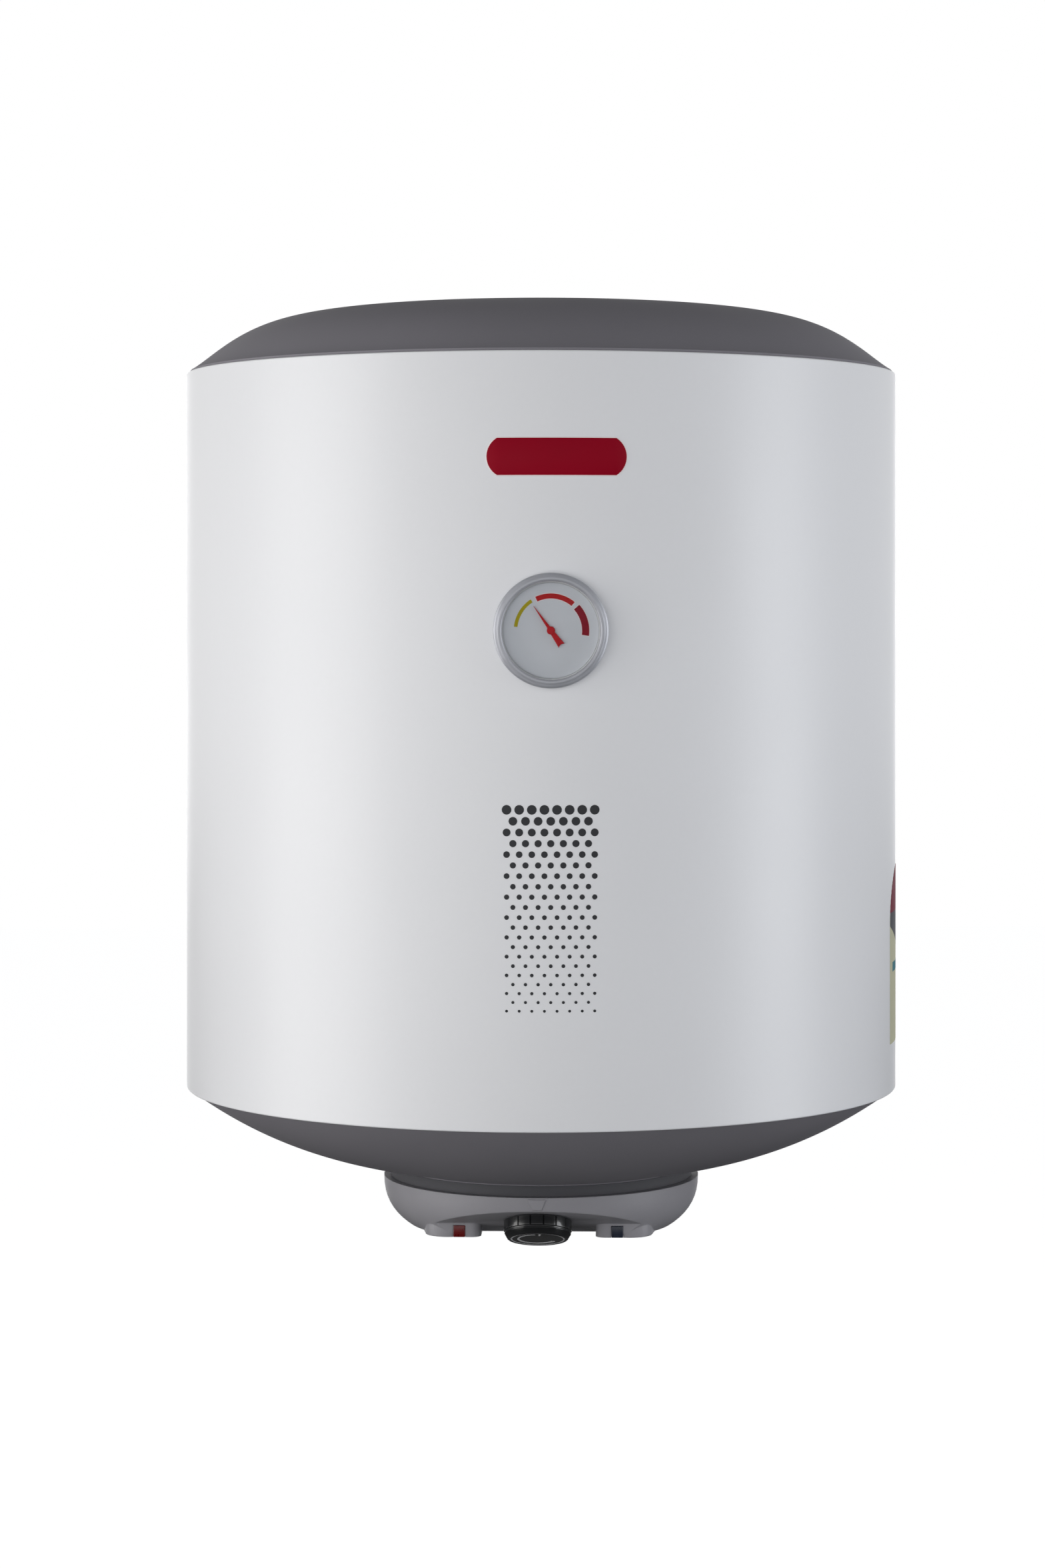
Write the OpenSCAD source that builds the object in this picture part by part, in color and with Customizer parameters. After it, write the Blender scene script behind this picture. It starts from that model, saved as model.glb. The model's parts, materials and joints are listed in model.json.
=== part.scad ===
// Wall-hung vertical electric storage water heater, 25 litre class.
// The heater is drawn about its own vertical axis, with z = 0 at the jacket's lower rim and its
// front towards -Y. to_wall() then carries each piece so that the origin lies midway between the
// bracket's two bolt holes, on the wall plane.

/* [Jacket] */
// Outer diameter of the sheet steel jacket
jacket_d = 380; // [320:1:460]
// Height of the jacket from rim to rim
jacket_h = 380; // [320:1:460]
// Thickness of the jacket's sheet
jacket_t = 0.8; // [0.6:0.1:1.2]
// Height of the hem folded inwards at each rim
hem_h = 8; // [5:1:12]

/* [Caps] */
// Wall of the moulded caps
cap_wall = 2.5; // [2:0.1:3.2]
// Rise of the top cap's shoulder above the jacket
top_rise = 33.2; // [24:0.2:44]
// Further rise of the crown at the centre of the top cap
crown_rise = 5; // [2:0.5:8]
// Depth of the bottom cap's dome below the jacket
bottom_drop = 45.6; // [36:0.2:56]
// Length of each cap's skirt inside the jacket
skirt_h = 14; // [10:1:20]
// Length of the bottom cap's neck below the jacket rim
neck_drop = 48; // [46:0.5:58]

/* [Tank] */
// Thickness of the foam between tank and jacket
foam_t = 31.2; // [24:0.2:40]
// Thickness of the tank's enamelled steel
tank_wall = 2; // [1.6:0.1:2.5]
// Depth of each dished head
head_h = 44; // [36:1:52]
// Gap between each head and the level of the jacket rim
head_gap = 14; // [13:0.5:20]

/* [Flange] */
// Thickness of the flange plate
flange_t = 3; // [2.5:0.5:5]
// Thickness of the rubber gasket
gasket_t = 2.5; // [2:0.5:4]
// Number of flange bolts
flange_bolt_n = 6; // [4:1:8]
// Diameter of the flange bolts
flange_bolt_d = 8; // [6:1:8]
// Room for a socket wrench between flange and neck
wrench_room = 14; // [13:1:20]

/* [Element] */
// Diameter of the heating element's sheath
element_d = 8.5; // [6:0.5:9]
// Pitch between the element's legs
element_pitch = 16; // [13:0.5:18]
// Height of the element above the flange
element_h = 190; // [120:5:220]
// Outer diameter of the thermowell
well_d = 14; // [13.5:0.5:16]
// Height of the thermowell above the flange
well_h = 215; // [150:5:230]
// Diameter of the magnesium anode
anode_d = 21; // [16:1:22]
// Length of the magnesium anode
anode_h = 200; // [120:5:220]

/* [Water pipes] */
// Outside diameter of the half inch male pipe thread
pipe_d = 20.96; // [20.96]
// Bore of the water pipes
pipe_bore = 15; // [13:0.5:16]
// Distance between inlet and outlet
pipe_spacing = 100; // [90:1:120]
// Length of pipe below the bottom cap's seat
pipe_reach = 20; // [16:1:26]
// Length of the threaded end
thread_h = 14; // [12:1:15]
// Outer diameter of the coloured collars
collar_d = 32; // [28:1:36]

/* [Service cover] */
// Diameter of the service cover at its rim
cover_d = 169; // [160:1:204]
// Depth of the service cover
cover_h = 24.8; // [23:0.2:30]
// Wall of the service cover
cover_wall = 2.5; // [2:0.1:3]
// Angle at which the service cover sits on its seat, seen from above
cover_turn = -2.9; // [-4:0.1:4]
// Tilt of the control panel from level
panel_tilt = 22; // [18:1:26]
// Height of the plain band above the control panel
band_h = 6.9; // [6:0.1:9]
// Half width of the space between the lamp pods
pod_x = 30; // [28:0.5:34]
// Distance from the heater's axis to the front of the pods
pod_y = 58.5; // [56:0.5:60]
// Corner radius of the pods
pod_r = 5; // [3:0.5:6]
// Distance from the cover's middle to each lamp lens
lens_x = 41.3; // [39:0.1:44]
// Width and height of each lamp lens
lens_w = 6.1; // [5:0.1:8]

/* [Knob] */
// Largest diameter of the knob
knob_d = 35.4; // [30:0.2:38]
// Diameter of the knob's face
knob_face_d = 31; // [27:0.2:32]
// Height of the knob
knob_h = 9.5; // [9:0.1:12]
// Height of the knob's grip ring
grip_h = 5.2; // [4:0.1:6]
// Number of grip notches
notch_n = 16; // [12:1:24]
// Wall of the knob's skirt
knob_wall = 2.4; // [1.8:0.1:2.6]
// Running gap between knob and panel
knob_gap = 0.6; // [0.4:0.1:1]
// Distance from the panel's front edge to the knob's centre
knob_inset = 19.4; // [19.4:0.1:22]
// Diameter of the thermostat's spindle
spindle_d = 6; // [5:0.5:6]

/* [Thermometer] */
// Outer diameter of the thermometer's bezel
gauge_d = 56; // [48:0.5:66]
// Height of the bezel above the jacket
gauge_h = 8; // [7:0.2:10]
// Width of the bezel's face
bezel_w = 4.3; // [3.6:0.1:5]
// Distance from the upper rim down to the thermometer's centre
gauge_drop = 136.2; // [100:1:180]
// Angle of the needle at rest, left of straight up
needle_angle = 35.4; // [0:0.1:84]

/* [Trim] */
// Width of the badge
badge_w = 68.6; // [50:0.5:80]
// Height of the badge
badge_h = 18.2; // [14:0.2:22]
// Distance from the upper rim down to the badge's centre
badge_drop = 51.7; // [30:0.5:64]
// Radius of the badge's bowed ends
badge_end_r = 10.6; // [9.2:0.1:20]
// Sideways offset of the badge
badge_x = 3; // [0:0.5:6]
// Thickness of badge and sticker
trim_t = 0.4; // [0.3:0.1:1]
// Width of the side sticker
sticker_w = 60; // [50:1:70]
// Height of the side sticker
sticker_h = 93; // [80:1:100]
// Height of the sticker's lower edge
sticker_z = 26; // [20:1:40]
// Angle of the sticker's centre round from the front
sticker_angle = 82; // [75:1:100]

/* [Wall bracket] */
// Width of the bracket plate
bracket_w = 230; // [210:1:260]
// Height of the bracket plate
bracket_h = 44; // [40:1:60]
// Thickness of the bracket's steel
bracket_t = 3; // [2:0.5:4]
// Distance between the two bolt holes
bolt_spacing = 180; // [160:1:200]
// Diameter of the bolt holes
bolt_hole_d = 10; // [8:0.5:12]
// Distance between the webs that reach the tank
web_spacing = 110; // [90:1:120]
// Gap between the jacket and the wall
wall_gap = 12; // [11:0.5:20]
// Distance from the jacket's upper rim down to the bolt holes
bracket_drop = 80; // [76:1:120]

/* [Fits] */
// Gap beside a welded, foamed or snapped joint
fit = 0.3; // [0.2:0.05:0.4]
// Radial gap round a turning spindle
running = 0.05; // [0.02:0.01:0.08]
// Gap round a threaded or soldered joint
thread_gap = 0.1; // [0.05:0.01:0.15]

/* [Hidden] */
$fn = 96;

over = 1;
jacket_r = jacket_d / 2;
cap_r = jacket_r - 2 * jacket_t - fit;
wall_y = jacket_r + wall_gap;
bracket_z = jacket_h - bracket_drop;
gauge_z = jacket_h - gauge_drop;
badge_z = jacket_h - badge_drop;
seam_angle = 26;
seam_w = 10;

// Caps: the top cap has a flat crown with a full knuckle, the bottom cap a soft dome
knuckle_r = jacket_r * 1.008;
knuckle_n = 7.4;
knuckle_e = 1.55;
crown_r = jacket_r * 0.63;
dome_n = 3.03;
dome_steps = 26;

// Tank
tank_r = jacket_r - jacket_t - foam_t;
tank_z0 = head_gap;
tank_z1 = jacket_h - head_gap;

// Service cover and the well above it
cover_r = cover_d / 2;
cover_z = -neck_drop - 1;
seal_t = 1;
neck_r = cover_r - 4;
neck_in_r = neck_r - cap_wall;
bowl_core = cover_r - 56.5;
bowl_h = cover_h * 34 / 24.8;
bowl_n = 2.4;
bowl_steps = 18;
cover_floor = cover_z - cover_h;
panel_z = cover_z - band_h;
knob_y = -(cover_r - knob_inset);
knob_z = panel_z - knob_inset * tan(panel_tilt);
screw_post_x = neck_in_r - 23;
screw_post_y = 28;
post_r = 5;
post_top = -20;
post_end = cover_floor + 7.8;
spigot_h = 5;
rib_h = neck_drop + post_top - spigot_h - 1;
rib_t = 4;

// Flange
flange_r = neck_in_r - wrench_room;
flange_pcr = flange_r - 11;
flange_open_r = flange_r - 22;
ring_z = 6;
gasket_z = ring_z - gasket_t;
plate_z = gasket_z - flange_t;
leg_x = element_pitch * 1.5;
well_y = -24;
anode_y = 26;

// Water pipes stand behind the neck
pipe_y = neck_r + 14.5;
thread_r = pipe_d / 2;
pipe_r = thread_r + 0.2;
pipe_axis_r = norm([pipe_spacing / 2, pipe_y]);
seat_r = collar_d / 2 + 3;
seat_z = dome_z(pipe_axis_r - seat_r) - 1;
pipe_end = seat_z - pipe_reach;

// Thermometer
bezel_r = gauge_d / 2;
case_r = bezel_r - bezel_w + 0.9;
lens_r = case_r;
glass_a = gauge_h - 2.8;
dial_a = 2;
case_depth = 14;

// Thermostat, cutout and wiring
stat_w = 36;
stat_d = 24;
stat_h = 24;
stat_head_r = 3.4;
stat_screw_x = knob_d / 2 - knob_wall - stat_head_r - 0.9;
bulb_r = 2.7;
bulb_x = 2.9;
wire_r = 1.1;
capillary_r = 0.8;
cutout_z = plate_z - 12.5;
shelf_y = neck_in_r - 26;
shelf_z = -22;
shelf_w = 52;
gland_z = cover_z - 12;
gland_r = 8;
gland_bore_r = 4.5;
gland_seat = 14.5;

function dome_z(r) = -bottom_drop * (1 - pow(min(r / cap_r, 1), dome_n));
function dome_inner_z(r) =
    -(bottom_drop - cap_wall) * (1 - pow(min(r / (cap_r - cap_wall), 1), dome_n));
function shoulder(r, edge) = pow(max(0, 1 - pow(r / edge, knuckle_n)), knuckle_e);
function crown(r) = crown_rise * pow(max(0, 1 - pow(r / crown_r, 2)), 2);
function top_z(r) = top_rise * shoulder(r, knuckle_r) + crown(r);
function top_inner_z(r) = (top_rise - cap_wall) * shoulder(r, knuckle_r - cap_wall) + crown(r);
function head_z(r, radius, height) = height * (1 - sqrt(max(0, 1 - pow(r / radius, 2))));
function span(from, to, n) = [for (i = [0:n]) from + (to - from) * i / n];
// Steps that shorten towards the rim, where a cap curves most, going out and coming back in
function out_span(r, n) = [for (i = [0:n]) r * sin(90 * i / n)];
function in_span(r, n) = [for (i = [n:-1:0]) r * sin(90 * i / n)];

// Catmull-Rom curve through hand-chosen points, with n steps in each stretch
function curve_point(a, b, c, d, t) =
    0.5 * (2 * b + (c - a) * t + (2 * a - 5 * b + 4 * c - d) * t * t
    + (3 * b - a - 3 * c + d) * t * t * t);
function curve(p, n) = [
    for (i = [0:len(p) - 2], j = [0:n - 1])
        curve_point(p[max(i - 1, 0)], p[i], p[i + 1], p[min(i + 2, len(p) - 1)], j / n),
    p[len(p) - 1]
];
function unit(v) = v / norm(v);
function across(t) = unit(cross(t, abs(t.z) < 0.8 ? [0, 0, 1] : [1, 0, 0]));
function carried(t, i = 0, u = [0, 0, 0], out = []) =
    i == len(t) ? out
    : let (v = i == 0 ? across(t[0]) : unit(u - (u * t[i]) * t[i]))
        carried(t, i + 1, v, concat(out, [v]));

// Carries a piece from the heater's own axes to the wall's
module to_wall() {
    translate([0, -wall_y, -bracket_z]) children();
}

// The same for what the service cover carries, which is turned with it
module on_cover() {
    to_wall() rotate(cover_turn) children();
}

// A tube swept along a route
module sweep(route, r, sides = 8) {
    n = len(route);
    t = [for (i = [0:n - 1]) unit(route[min(i + 1, n - 1)] - route[max(i - 1, 0)])];
    u = carried(t);
    points = [
        for (i = [0:n - 1], k = [0:sides - 1])
            route[i] + r * (cos(360 * k / sides) * u[i]
            + sin(360 * k / sides) * cross(t[i], u[i]))
    ];
    walls = [
        for (i = [0:n - 2], k = [0:sides - 1])
            let (m = (k + 1) % sides)
            [i * sides + k, (i + 1) * sides + k, (i + 1) * sides + m, i * sides + m]
    ];
    start = [[for (k = [0:sides - 1]) k]];
    end = [[for (k = [sides - 1:-1:0]) (n - 1) * sides + k]];
    polyhedron(points, concat(start, walls, end), convexity = 4);
}

// A plain tube standing on z = 0
module pipe(outer, inner, h) {
    difference() {
        cylinder(r = outer, h = h);
        translate([0, 0, -over]) cylinder(r = inner, h = h + 2 * over);
    }
}

// A pan-head screw with its head's underside at z = 0 and its shank upwards
module screw(shank_r, length, head_r, head_h) {
    difference() {
        translate([0, 0, -head_h]) cylinder(r = head_r, h = head_h);
        for (a = [0, 90])
            translate([0, 0, -head_h]) rotate(a)
                cube([head_r * 1.2, shank_r * 0.4, head_h], center = true);
    }
    cylinder(r = shank_r, h = length);
}

// ---- Casing ----

module jacket() to_wall() color("white") {
    inner = jacket_r - jacket_t;
    hem = jacket_r - 2 * jacket_t;
    difference() {
        rotate_extrude() polygon([
            [hem, 0], [jacket_r, 0], [jacket_r, jacket_h], [hem, jacket_h],
            [hem, jacket_h - hem_h], [inner, jacket_h - hem_h], [inner, hem_h], [hem, hem_h]
        ]);
        gauge_axis() translate([0, 0, -case_depth - over])
            cylinder(r = case_r + fit, h = case_depth + gauge_h);
        for (side = [-1, 1])
            translate([side * web_spacing / 2 - web_w() / 2 - fit, 0, bracket_z - web_h() / 2 - fit])
                cube([web_w() + 2 * fit, wall_y, web_h() + 2 * fit]);
    }
    // Lock seam down the back
    rotate(seam_angle) translate([-seam_w / 2, jacket_r - jacket_t / 2, hem_h])
        cube([seam_w, jacket_t * 1.5, jacket_h - 2 * hem_h]);
}

module top_cap() to_wall() color("dimgray") translate([0, 0, jacket_h])
    rotate_extrude() polygon(concat(
        [for (r = out_span(cap_r, dome_steps)) [r, top_z(r)]],
        [[cap_r, -skirt_h], [cap_r - cap_wall, -skirt_h]],
        [for (r = in_span(cap_r - cap_wall, dome_steps)) [r, top_inner_z(r)]]
    ));

module bottom_cap_shell() {
    sleeve_z = tank_z0 + head_z(neck_in_r, tank_r, head_h) - 0.4;
    rotate_extrude() polygon(concat(
        [[cap_r - cap_wall, skirt_h], [cap_r, skirt_h]],
        [for (r = span(cap_r, neck_r, dome_steps)) [r, dome_z(r)]],
        [[neck_r, -neck_drop], [neck_in_r, -neck_drop], [neck_in_r, sleeve_z], [neck_r, sleeve_z]],
        [for (r = span(neck_r, cap_r - cap_wall, dome_steps)) [r, dome_inner_z(r)]]
    ));
}

module at_pipes() {
    for (side = [-1, 1]) translate([side * pipe_spacing / 2, pipe_y, 0]) children();
}

module pipe_seats(r, top) {
    at_pipes() translate([0, 0, seat_z]) cylinder(r = r, h = top - seat_z);
}

// Trims a rib or shelf so that it ends within the neck's wall
module in_neck() {
    intersection() {
        children();
        cylinder(r = neck_in_r + 0.5, h = 4 * neck_drop, center = true);
    }
}

module bottom_cap() to_wall() color("dimgray") {
    difference() {
        union() {
            bottom_cap_shell();
            difference() {
                pipe_seats(seat_r, seat_z + 6);
                cylinder(r = neck_in_r + 0.5, h = 2 * jacket_h, center = true);
            }
            // Posts for the cover's screws, each with a rib to the neck
            rotate(cover_turn) for (side = [0, 1]) mirror([side, 0, 0]) {
                translate([screw_post_x, screw_post_y, post_end])
                    cylinder(r = post_r, h = post_top - post_end);
                in_neck() translate([screw_post_x, screw_post_y - rib_t / 2, post_top - rib_h])
                    cube([neck_r, rib_t, rib_h]);
            }
            // Shelf for the terminal block
            in_neck() translate([-shelf_w / 2, shelf_y, shelf_z]) cube([shelf_w, neck_r, 3]);
        }
        at_pipes() cylinder(r = pipe_r + 1.5, h = 4 * neck_drop, center = true);
        rotate(cover_turn) for (side = [-1, 1])
            translate([side * screw_post_x, screw_post_y, post_end - over])
                cylinder(r = 2 + thread_gap, h = 12 + over);
    }
}

module cover_seal() to_wall() color("black")
    translate([0, 0, cover_z]) pipe(neck_r, neck_in_r, seal_t);

// ---- Service cover ----

// The bowl's outline at a given depth inside its outer surface
function bowl(inset) = [
    for (t = span(0, 90, bowl_steps))
        let (depth = bowl_h * pow(sin(t), 2 / bowl_n))
        if (depth < cover_h - 0.2)
            [bowl_core + (cover_r - bowl_core) * pow(cos(t), 2 / bowl_n) - inset, cover_z - depth
            + inset * sin(t)]
];
function bowl_foot_r() =
    bowl_core + (cover_r - bowl_core)
    * pow(cos(asin(pow(cover_h / bowl_h, bowl_n / 2))), 2 / bowl_n);

module bowl_form(inset, top) {
    rotate_extrude() polygon(concat(
        [[0, top], [cover_r - inset, top]],
        bowl(inset),
        [[bowl_foot_r() - inset, cover_floor + inset], [0, cover_floor + inset]]
    ));
}

// One lamp pod in plan, on the +X side, with a rounded front corner
module pod_plan(inset) {
    x = pod_x + inset;
    y = -pod_y + inset;
    translate([x + pod_r, y]) square([cover_r, cover_r]);
    translate([x, y + pod_r]) square([cover_r, cover_r]);
    translate([x + pod_r, y + pod_r]) circle(r = pod_r);
}

// What the tilted panel cuts away from the bowl: everything below it, apart from the pods
module panel_cut(inset) {
    intersection() {
        translate([0, -cover_r, panel_z]) rotate([-panel_tilt, 0, 0])
            translate([-cover_r, -cover_r, -cover_r + inset])
                cube([cover_d, 2 * cover_d, cover_r]);
        difference() {
            translate([-cover_r, -cover_d, cover_floor - cover_r])
                cube([cover_d, cover_d, 2 * cover_r]);
            translate([0, 0, cover_floor - cover_r - over]) linear_extrude(2 * cover_r + 2 * over) {
                pod_plan(inset);
                mirror([1, 0]) pod_plan(inset);
            }
        }
    }
}

// The foot of a pod, which stands a little way out of the bowl's lower edge
module pod_foot() {
    r = 12;
    translate([0, 0, cover_floor]) linear_extrude(cover_wall * 2.4) intersection() {
        hull() {
            translate([lens_x + 6.2, r - pod_y]) circle(r = r);
            translate([lens_x + 8.7, 2.4 * r - pod_y]) circle(r = r);
        }
        pod_plan(0);
    }
}

// Where the knob sits: the origin on the panel's face, with +Z up into the cover
module knob_axis() {
    translate([0, knob_y, knob_z]) rotate([-panel_tilt, 0, 0]) children();
}

module lens_block(gap) {
    translate([-lens_w / 2 - gap, -pod_y - trim_t, cover_floor - gap])
        cube([lens_w + 2 * gap, 6.8 + gap, lens_w + 2 * gap]);
}

module lens_notch() {
    for (side = [-1, 1]) translate([side * lens_x, 0, 0]) hull() {
        lens_block(0.05);
        translate([0, 0, -2]) lens_block(0.05);
    }
}

// Raised mark over the knob
module pointer_mark() {
    intersection() {
        difference() {
            bowl_form(-0.4, cover_z);
            bowl_form(cover_wall / 2, cover_z + over);
        }
        translate([0, 0, panel_z + 0.5]) rotate([90, 0, 0]) linear_extrude(2 * cover_r)
            polygon([[-2.5, 0], [2.5, 0], [4.6, band_h - 1.4], [-4.6, band_h - 1.4]]);
    }
}

module service_cover() on_cover() color("gray") {
    spigot_r = neck_in_r - 0.4;
    difference() {
        union() {
            difference() {
                union() {
                    bowl_form(0, cover_z);
                    for (side = [0, 1]) mirror([side, 0, 0]) pod_foot();
                }
                panel_cut(0);
                difference() {
                    bowl_form(cover_wall, cover_z + over);
                    panel_cut(cover_wall);
                }
            }
            // Ledge under the neck, and the spigot inside it
            translate([0, 0, cover_z - cover_wall]) pipe(cover_r - over, spigot_r - 2, cover_wall);
            translate([0, 0, cover_z]) pipe(spigot_r, spigot_r - 2, spigot_h);
            pointer_mark();
            for (side = [-1, 1])
                translate([side * screw_post_x, screw_post_y, cover_floor])
                    cylinder(r = 7, h = post_end - cover_floor);
            // Flat seats for the cable gland
            intersection() {
                translate([0, cover_r - gland_seat, gland_z]) rotate([-90, 0, 0])
                    cylinder(r = 10, h = gland_seat);
                translate([0, 0, cover_floor]) cylinder(r = 2 * cover_r, h = cover_h - cover_wall);
            }
        }
        lens_notch();
        knob_axis() cylinder(r = spindle_d / 2 + 1.5, h = 3 * cover_wall, center = true);
        for (side = [-1, 1]) {
            knob_axis() translate([side * stat_screw_x, 0, 0])
                cylinder(r = 2.2, h = 3 * cover_wall, center = true);
            translate([side * screw_post_x, screw_post_y, cover_floor - over]) {
                cylinder(r = 4.4, h = 3.3 + over);
                cylinder(r = 2.3, h = cover_h);
            }
        }
        translate([0, 0, gland_z]) rotate([-90, 0, 0])
            cylinder(r = gland_r + thread_gap, h = 2 * cover_r);
    }
}

module cover_screws() on_cover() color("silver")
    for (side = [-1, 1])
        translate([side * screw_post_x, screw_post_y, cover_floor + 3.3])
            screw(2, 14, 3.9, 2.6);

module red_lens() on_cover() color("darkred") translate([-lens_x, 0, 0]) lens_block(0);

module blue_lens() on_cover() color("midnightblue") translate([lens_x, 0, 0]) lens_block(0);

// A neon lamp lying behind its lens, with two lead wires
module lamp() {
    translate([0, -pod_y - trim_t + 6.9 + 0.3, cover_floor + cover_wall + 2.3]) rotate([-90, 0, 0]) {
        cylinder(r = 2.2, h = 11);
        for (side = [-1, 1]) translate([side, 0, 11]) cylinder(r = 0.4, h = 3);
    }
}

module heating_lamp() on_cover() color("orange") translate([-lens_x, 0, 0]) lamp();

module power_lamp() on_cover() color("lightgray") translate([lens_x, 0, 0]) lamp();

// ---- Knob and thermostat ----

module flat_sided(r, h) {
    intersection() {
        cylinder(r = r, h = h);
        translate([-r, -r, 0]) cube([2 * r, 1.55 * r, h]);
    }
}

module control_knob() on_cover() color("black") knob_axis() {
    top = -knob_gap;
    groove_z = top - grip_h;
    face = top - knob_h;
    hub_r = spindle_d / 2 + 2.5;
    r = knob_d / 2;
    difference() {
        rotate_extrude() polygon([
            [0, top - 0.4], [hub_r, top - 0.4], [hub_r, face + 2.5], [r - knob_wall, face + 4],
            [r - knob_wall, top], [r, top], [r, groove_z], [r - 0.6, groove_z - 0.3],
            [r - 0.6, groove_z - 0.8], [r - 0.3, groove_z - 1.1], [knob_face_d / 2, face + 0.6],
            [knob_face_d / 2 - 0.6, face], [0, face]
        ]);
        for (i = [1:notch_n])
            rotate(360 * (i - 0.5) / notch_n) translate([r, 0, top - grip_h / 2])
                cube([0.9, 0.9, grip_h + 0.8], center = true);
        translate([0, 0, face + 2.5]) flat_sided(spindle_d / 2 + running, knob_h);
    }
}

module thermostat_spindle() on_cover() color("silver") knob_axis() {
    translate([0, 0, -knob_gap - knob_h + 2.7]) flat_sided(spindle_d / 2, knob_h - 2.7 + cover_wall);
    translate([0, 0, cover_wall - knob_gap]) cylinder(r = spindle_d / 2, h = 12);
}

module thermostat_body() on_cover() color("ivory") knob_axis() {
    difference() {
        union() {
            translate([-stat_w / 2, -stat_d / 2, cover_wall]) cube([stat_w, stat_d, stat_h]);
            // Blade terminals
            for (x = [-10, 0, 10])
                translate([x - 3, stat_d / 2 - 0.1, cover_wall + 14]) cube([6, 6.1, 0.8]);
        }
        translate([0, 0, cover_wall - over]) cylinder(r = spindle_d / 2 + running, h = 14 + over);
        for (side = [-1, 1])
            translate([side * stat_screw_x, 0, cover_wall - over])
                cylinder(r = 2 + thread_gap, h = 8 + over);
    }
}

module thermostat_screws() on_cover() color("silver") knob_axis()
    for (side = [-1, 1]) translate([side * stat_screw_x, 0, 0]) screw(2, 9, stat_head_r, 1.8);

// Where a point of the knob's own axes lies on the heater
function turned(p) = [
    p.x * cos(cover_turn) - p.y * sin(cover_turn),
    p.x * sin(cover_turn) + p.y * cos(cover_turn), p.z
];
function on_knob(p) = turned([
    p.x, knob_y + p.y * cos(panel_tilt) + p.z * sin(panel_tilt),
    knob_z - p.y * sin(panel_tilt) + p.z * cos(panel_tilt)
]);

module thermostat_capillary() to_wall() color("peru") {
    bulb_z = plate_z + well_h - 90;
    translate([-bulb_x, well_y, bulb_z]) cylinder(r = bulb_r, h = 70);
    route = [
        [-bulb_x, well_y, bulb_z + 0.1], [-bulb_x, well_y, 40], [-bulb_x, well_y, plate_z - 4],
        [-bulb_x - 4, well_y, plate_z - 9.5], [-13, well_y - 2, plate_z - 12],
        [-19, well_y - 8, plate_z - 16], [-19, well_y - 15, plate_z - 21],
        on_knob([-14, 6, cover_wall + stat_h + 5]), on_knob([-12, 4, cover_wall + stat_h + 0.5])
    ];
    sweep(curve(route, 5), capillary_r, 8);
}

// ---- Thermometer ----

// The origin on the jacket's front, with +Z outwards
module gauge_axis() {
    translate([0, -jacket_r, gauge_z]) rotate([90, 0, 0]) children();
}

module jacket_form(gap) {
    translate([0, 0, -over]) cylinder(r = jacket_r + gap, h = jacket_h + 2 * over);
}

module gauge_bezel() to_wall() color("silver") difference() {
    gauge_axis() rotate_extrude() polygon([
        [case_r + 0.1, -4], [bezel_r, -4], [bezel_r, 3.6], [bezel_r - 0.5, 4.4],
        [bezel_r - 0.9, gauge_h - 2], [bezel_r - 1.7, gauge_h - 0.6], [bezel_r - 2.6, gauge_h],
        [bezel_r - bezel_w + 1.1, gauge_h], [bezel_r - bezel_w, gauge_h - 0.9],
        [bezel_r - bezel_w, glass_a + 1.7], [case_r + 0.1, glass_a + 1.7]
    ]);
    jacket_form(fit);
}

module gauge_lens() to_wall() color("aliceblue", 0.4)
    gauge_axis() translate([0, 0, glass_a]) cylinder(r = lens_r, h = 1.6);

module gauge_case() to_wall() color("gainsboro") gauge_axis() difference() {
    translate([0, 0, -case_depth]) cylinder(r = case_r, h = case_depth + glass_a - 0.1);
    translate([0, 0, 1.2 - case_depth]) cylinder(r = case_r - 1.2, h = case_depth + gauge_h);
    cylinder(r = capillary_r + 0.2, h = 3 * case_depth, center = true);
}

module gauge_dial() to_wall() color("white") gauge_axis() translate([0, 0, dial_a])
    pipe(case_r - 1.3, 1.1, 0.6);

module gauge_movement() to_wall() color("goldenrod") gauge_axis() {
    difference() {
        union() {
            translate([0, 0, -case_depth + 3.2]) cylinder(r = 9, h = 8);
            translate([-3, -case_r + 1.6, -case_depth + 1.3]) cube([6, 2 * case_r - 3.2, 2]);
            // Pillars that carry the dial
            for (side = [-1, 1])
                translate([0, side * (case_r - 5), -case_depth + 1.3])
                    cylinder(r = 1.5, h = case_depth + dial_a - 1.35);
        }
        translate([0, 0, -case_depth + 4.2]) cylinder(r = 0.8 + running, h = case_depth);
        translate([0, 0, -case_depth]) cylinder(r = capillary_r + 0.2, h = 3);
    }
}

module gauge_spindle() to_wall() color("silver")
    gauge_axis() translate([0, 0, -case_depth + 4.3]) cylinder(r = 0.8, h = case_depth - 0.4);

// A tapered pointer with a broad tail, straight up before it is turned to its angle
module gauge_needle() to_wall() color("red") gauge_axis() rotate(needle_angle)
    translate([0, 0, dial_a + 1]) difference() {
        reach = (bezel_r - bezel_w) * 0.62;
        tail = (bezel_r - bezel_w) * 0.37;
        union() {
            cylinder(r = 2, h = 1.2);
            linear_extrude(0.6) polygon([
                [-1, 0], [-0.15, reach], [0.15, reach], [1, 0], [1.9, -tail], [-1.9, -tail]
            ]);
        }
        translate([0, 0, -over]) cylinder(r = 0.8 + 0.02, h = 2 + over);
    }

module gauge_capillary() to_wall() color("peru") {
    bulb_y = -tank_r - 3.2;
    translate([0, bulb_y, gauge_z - 80]) cylinder(r = 3, h = 50);
    back = -jacket_r + case_depth;
    sweep(curve([
        [0, back - 1, gauge_z], [0, back + 2, gauge_z], [0, bulb_y - 3, gauge_z - 5],
        [0, bulb_y, gauge_z - 14], [0, bulb_y, gauge_z - 30.1]
    ], 5), capillary_r, 8);
}

// ---- Trim on the jacket ----

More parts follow.
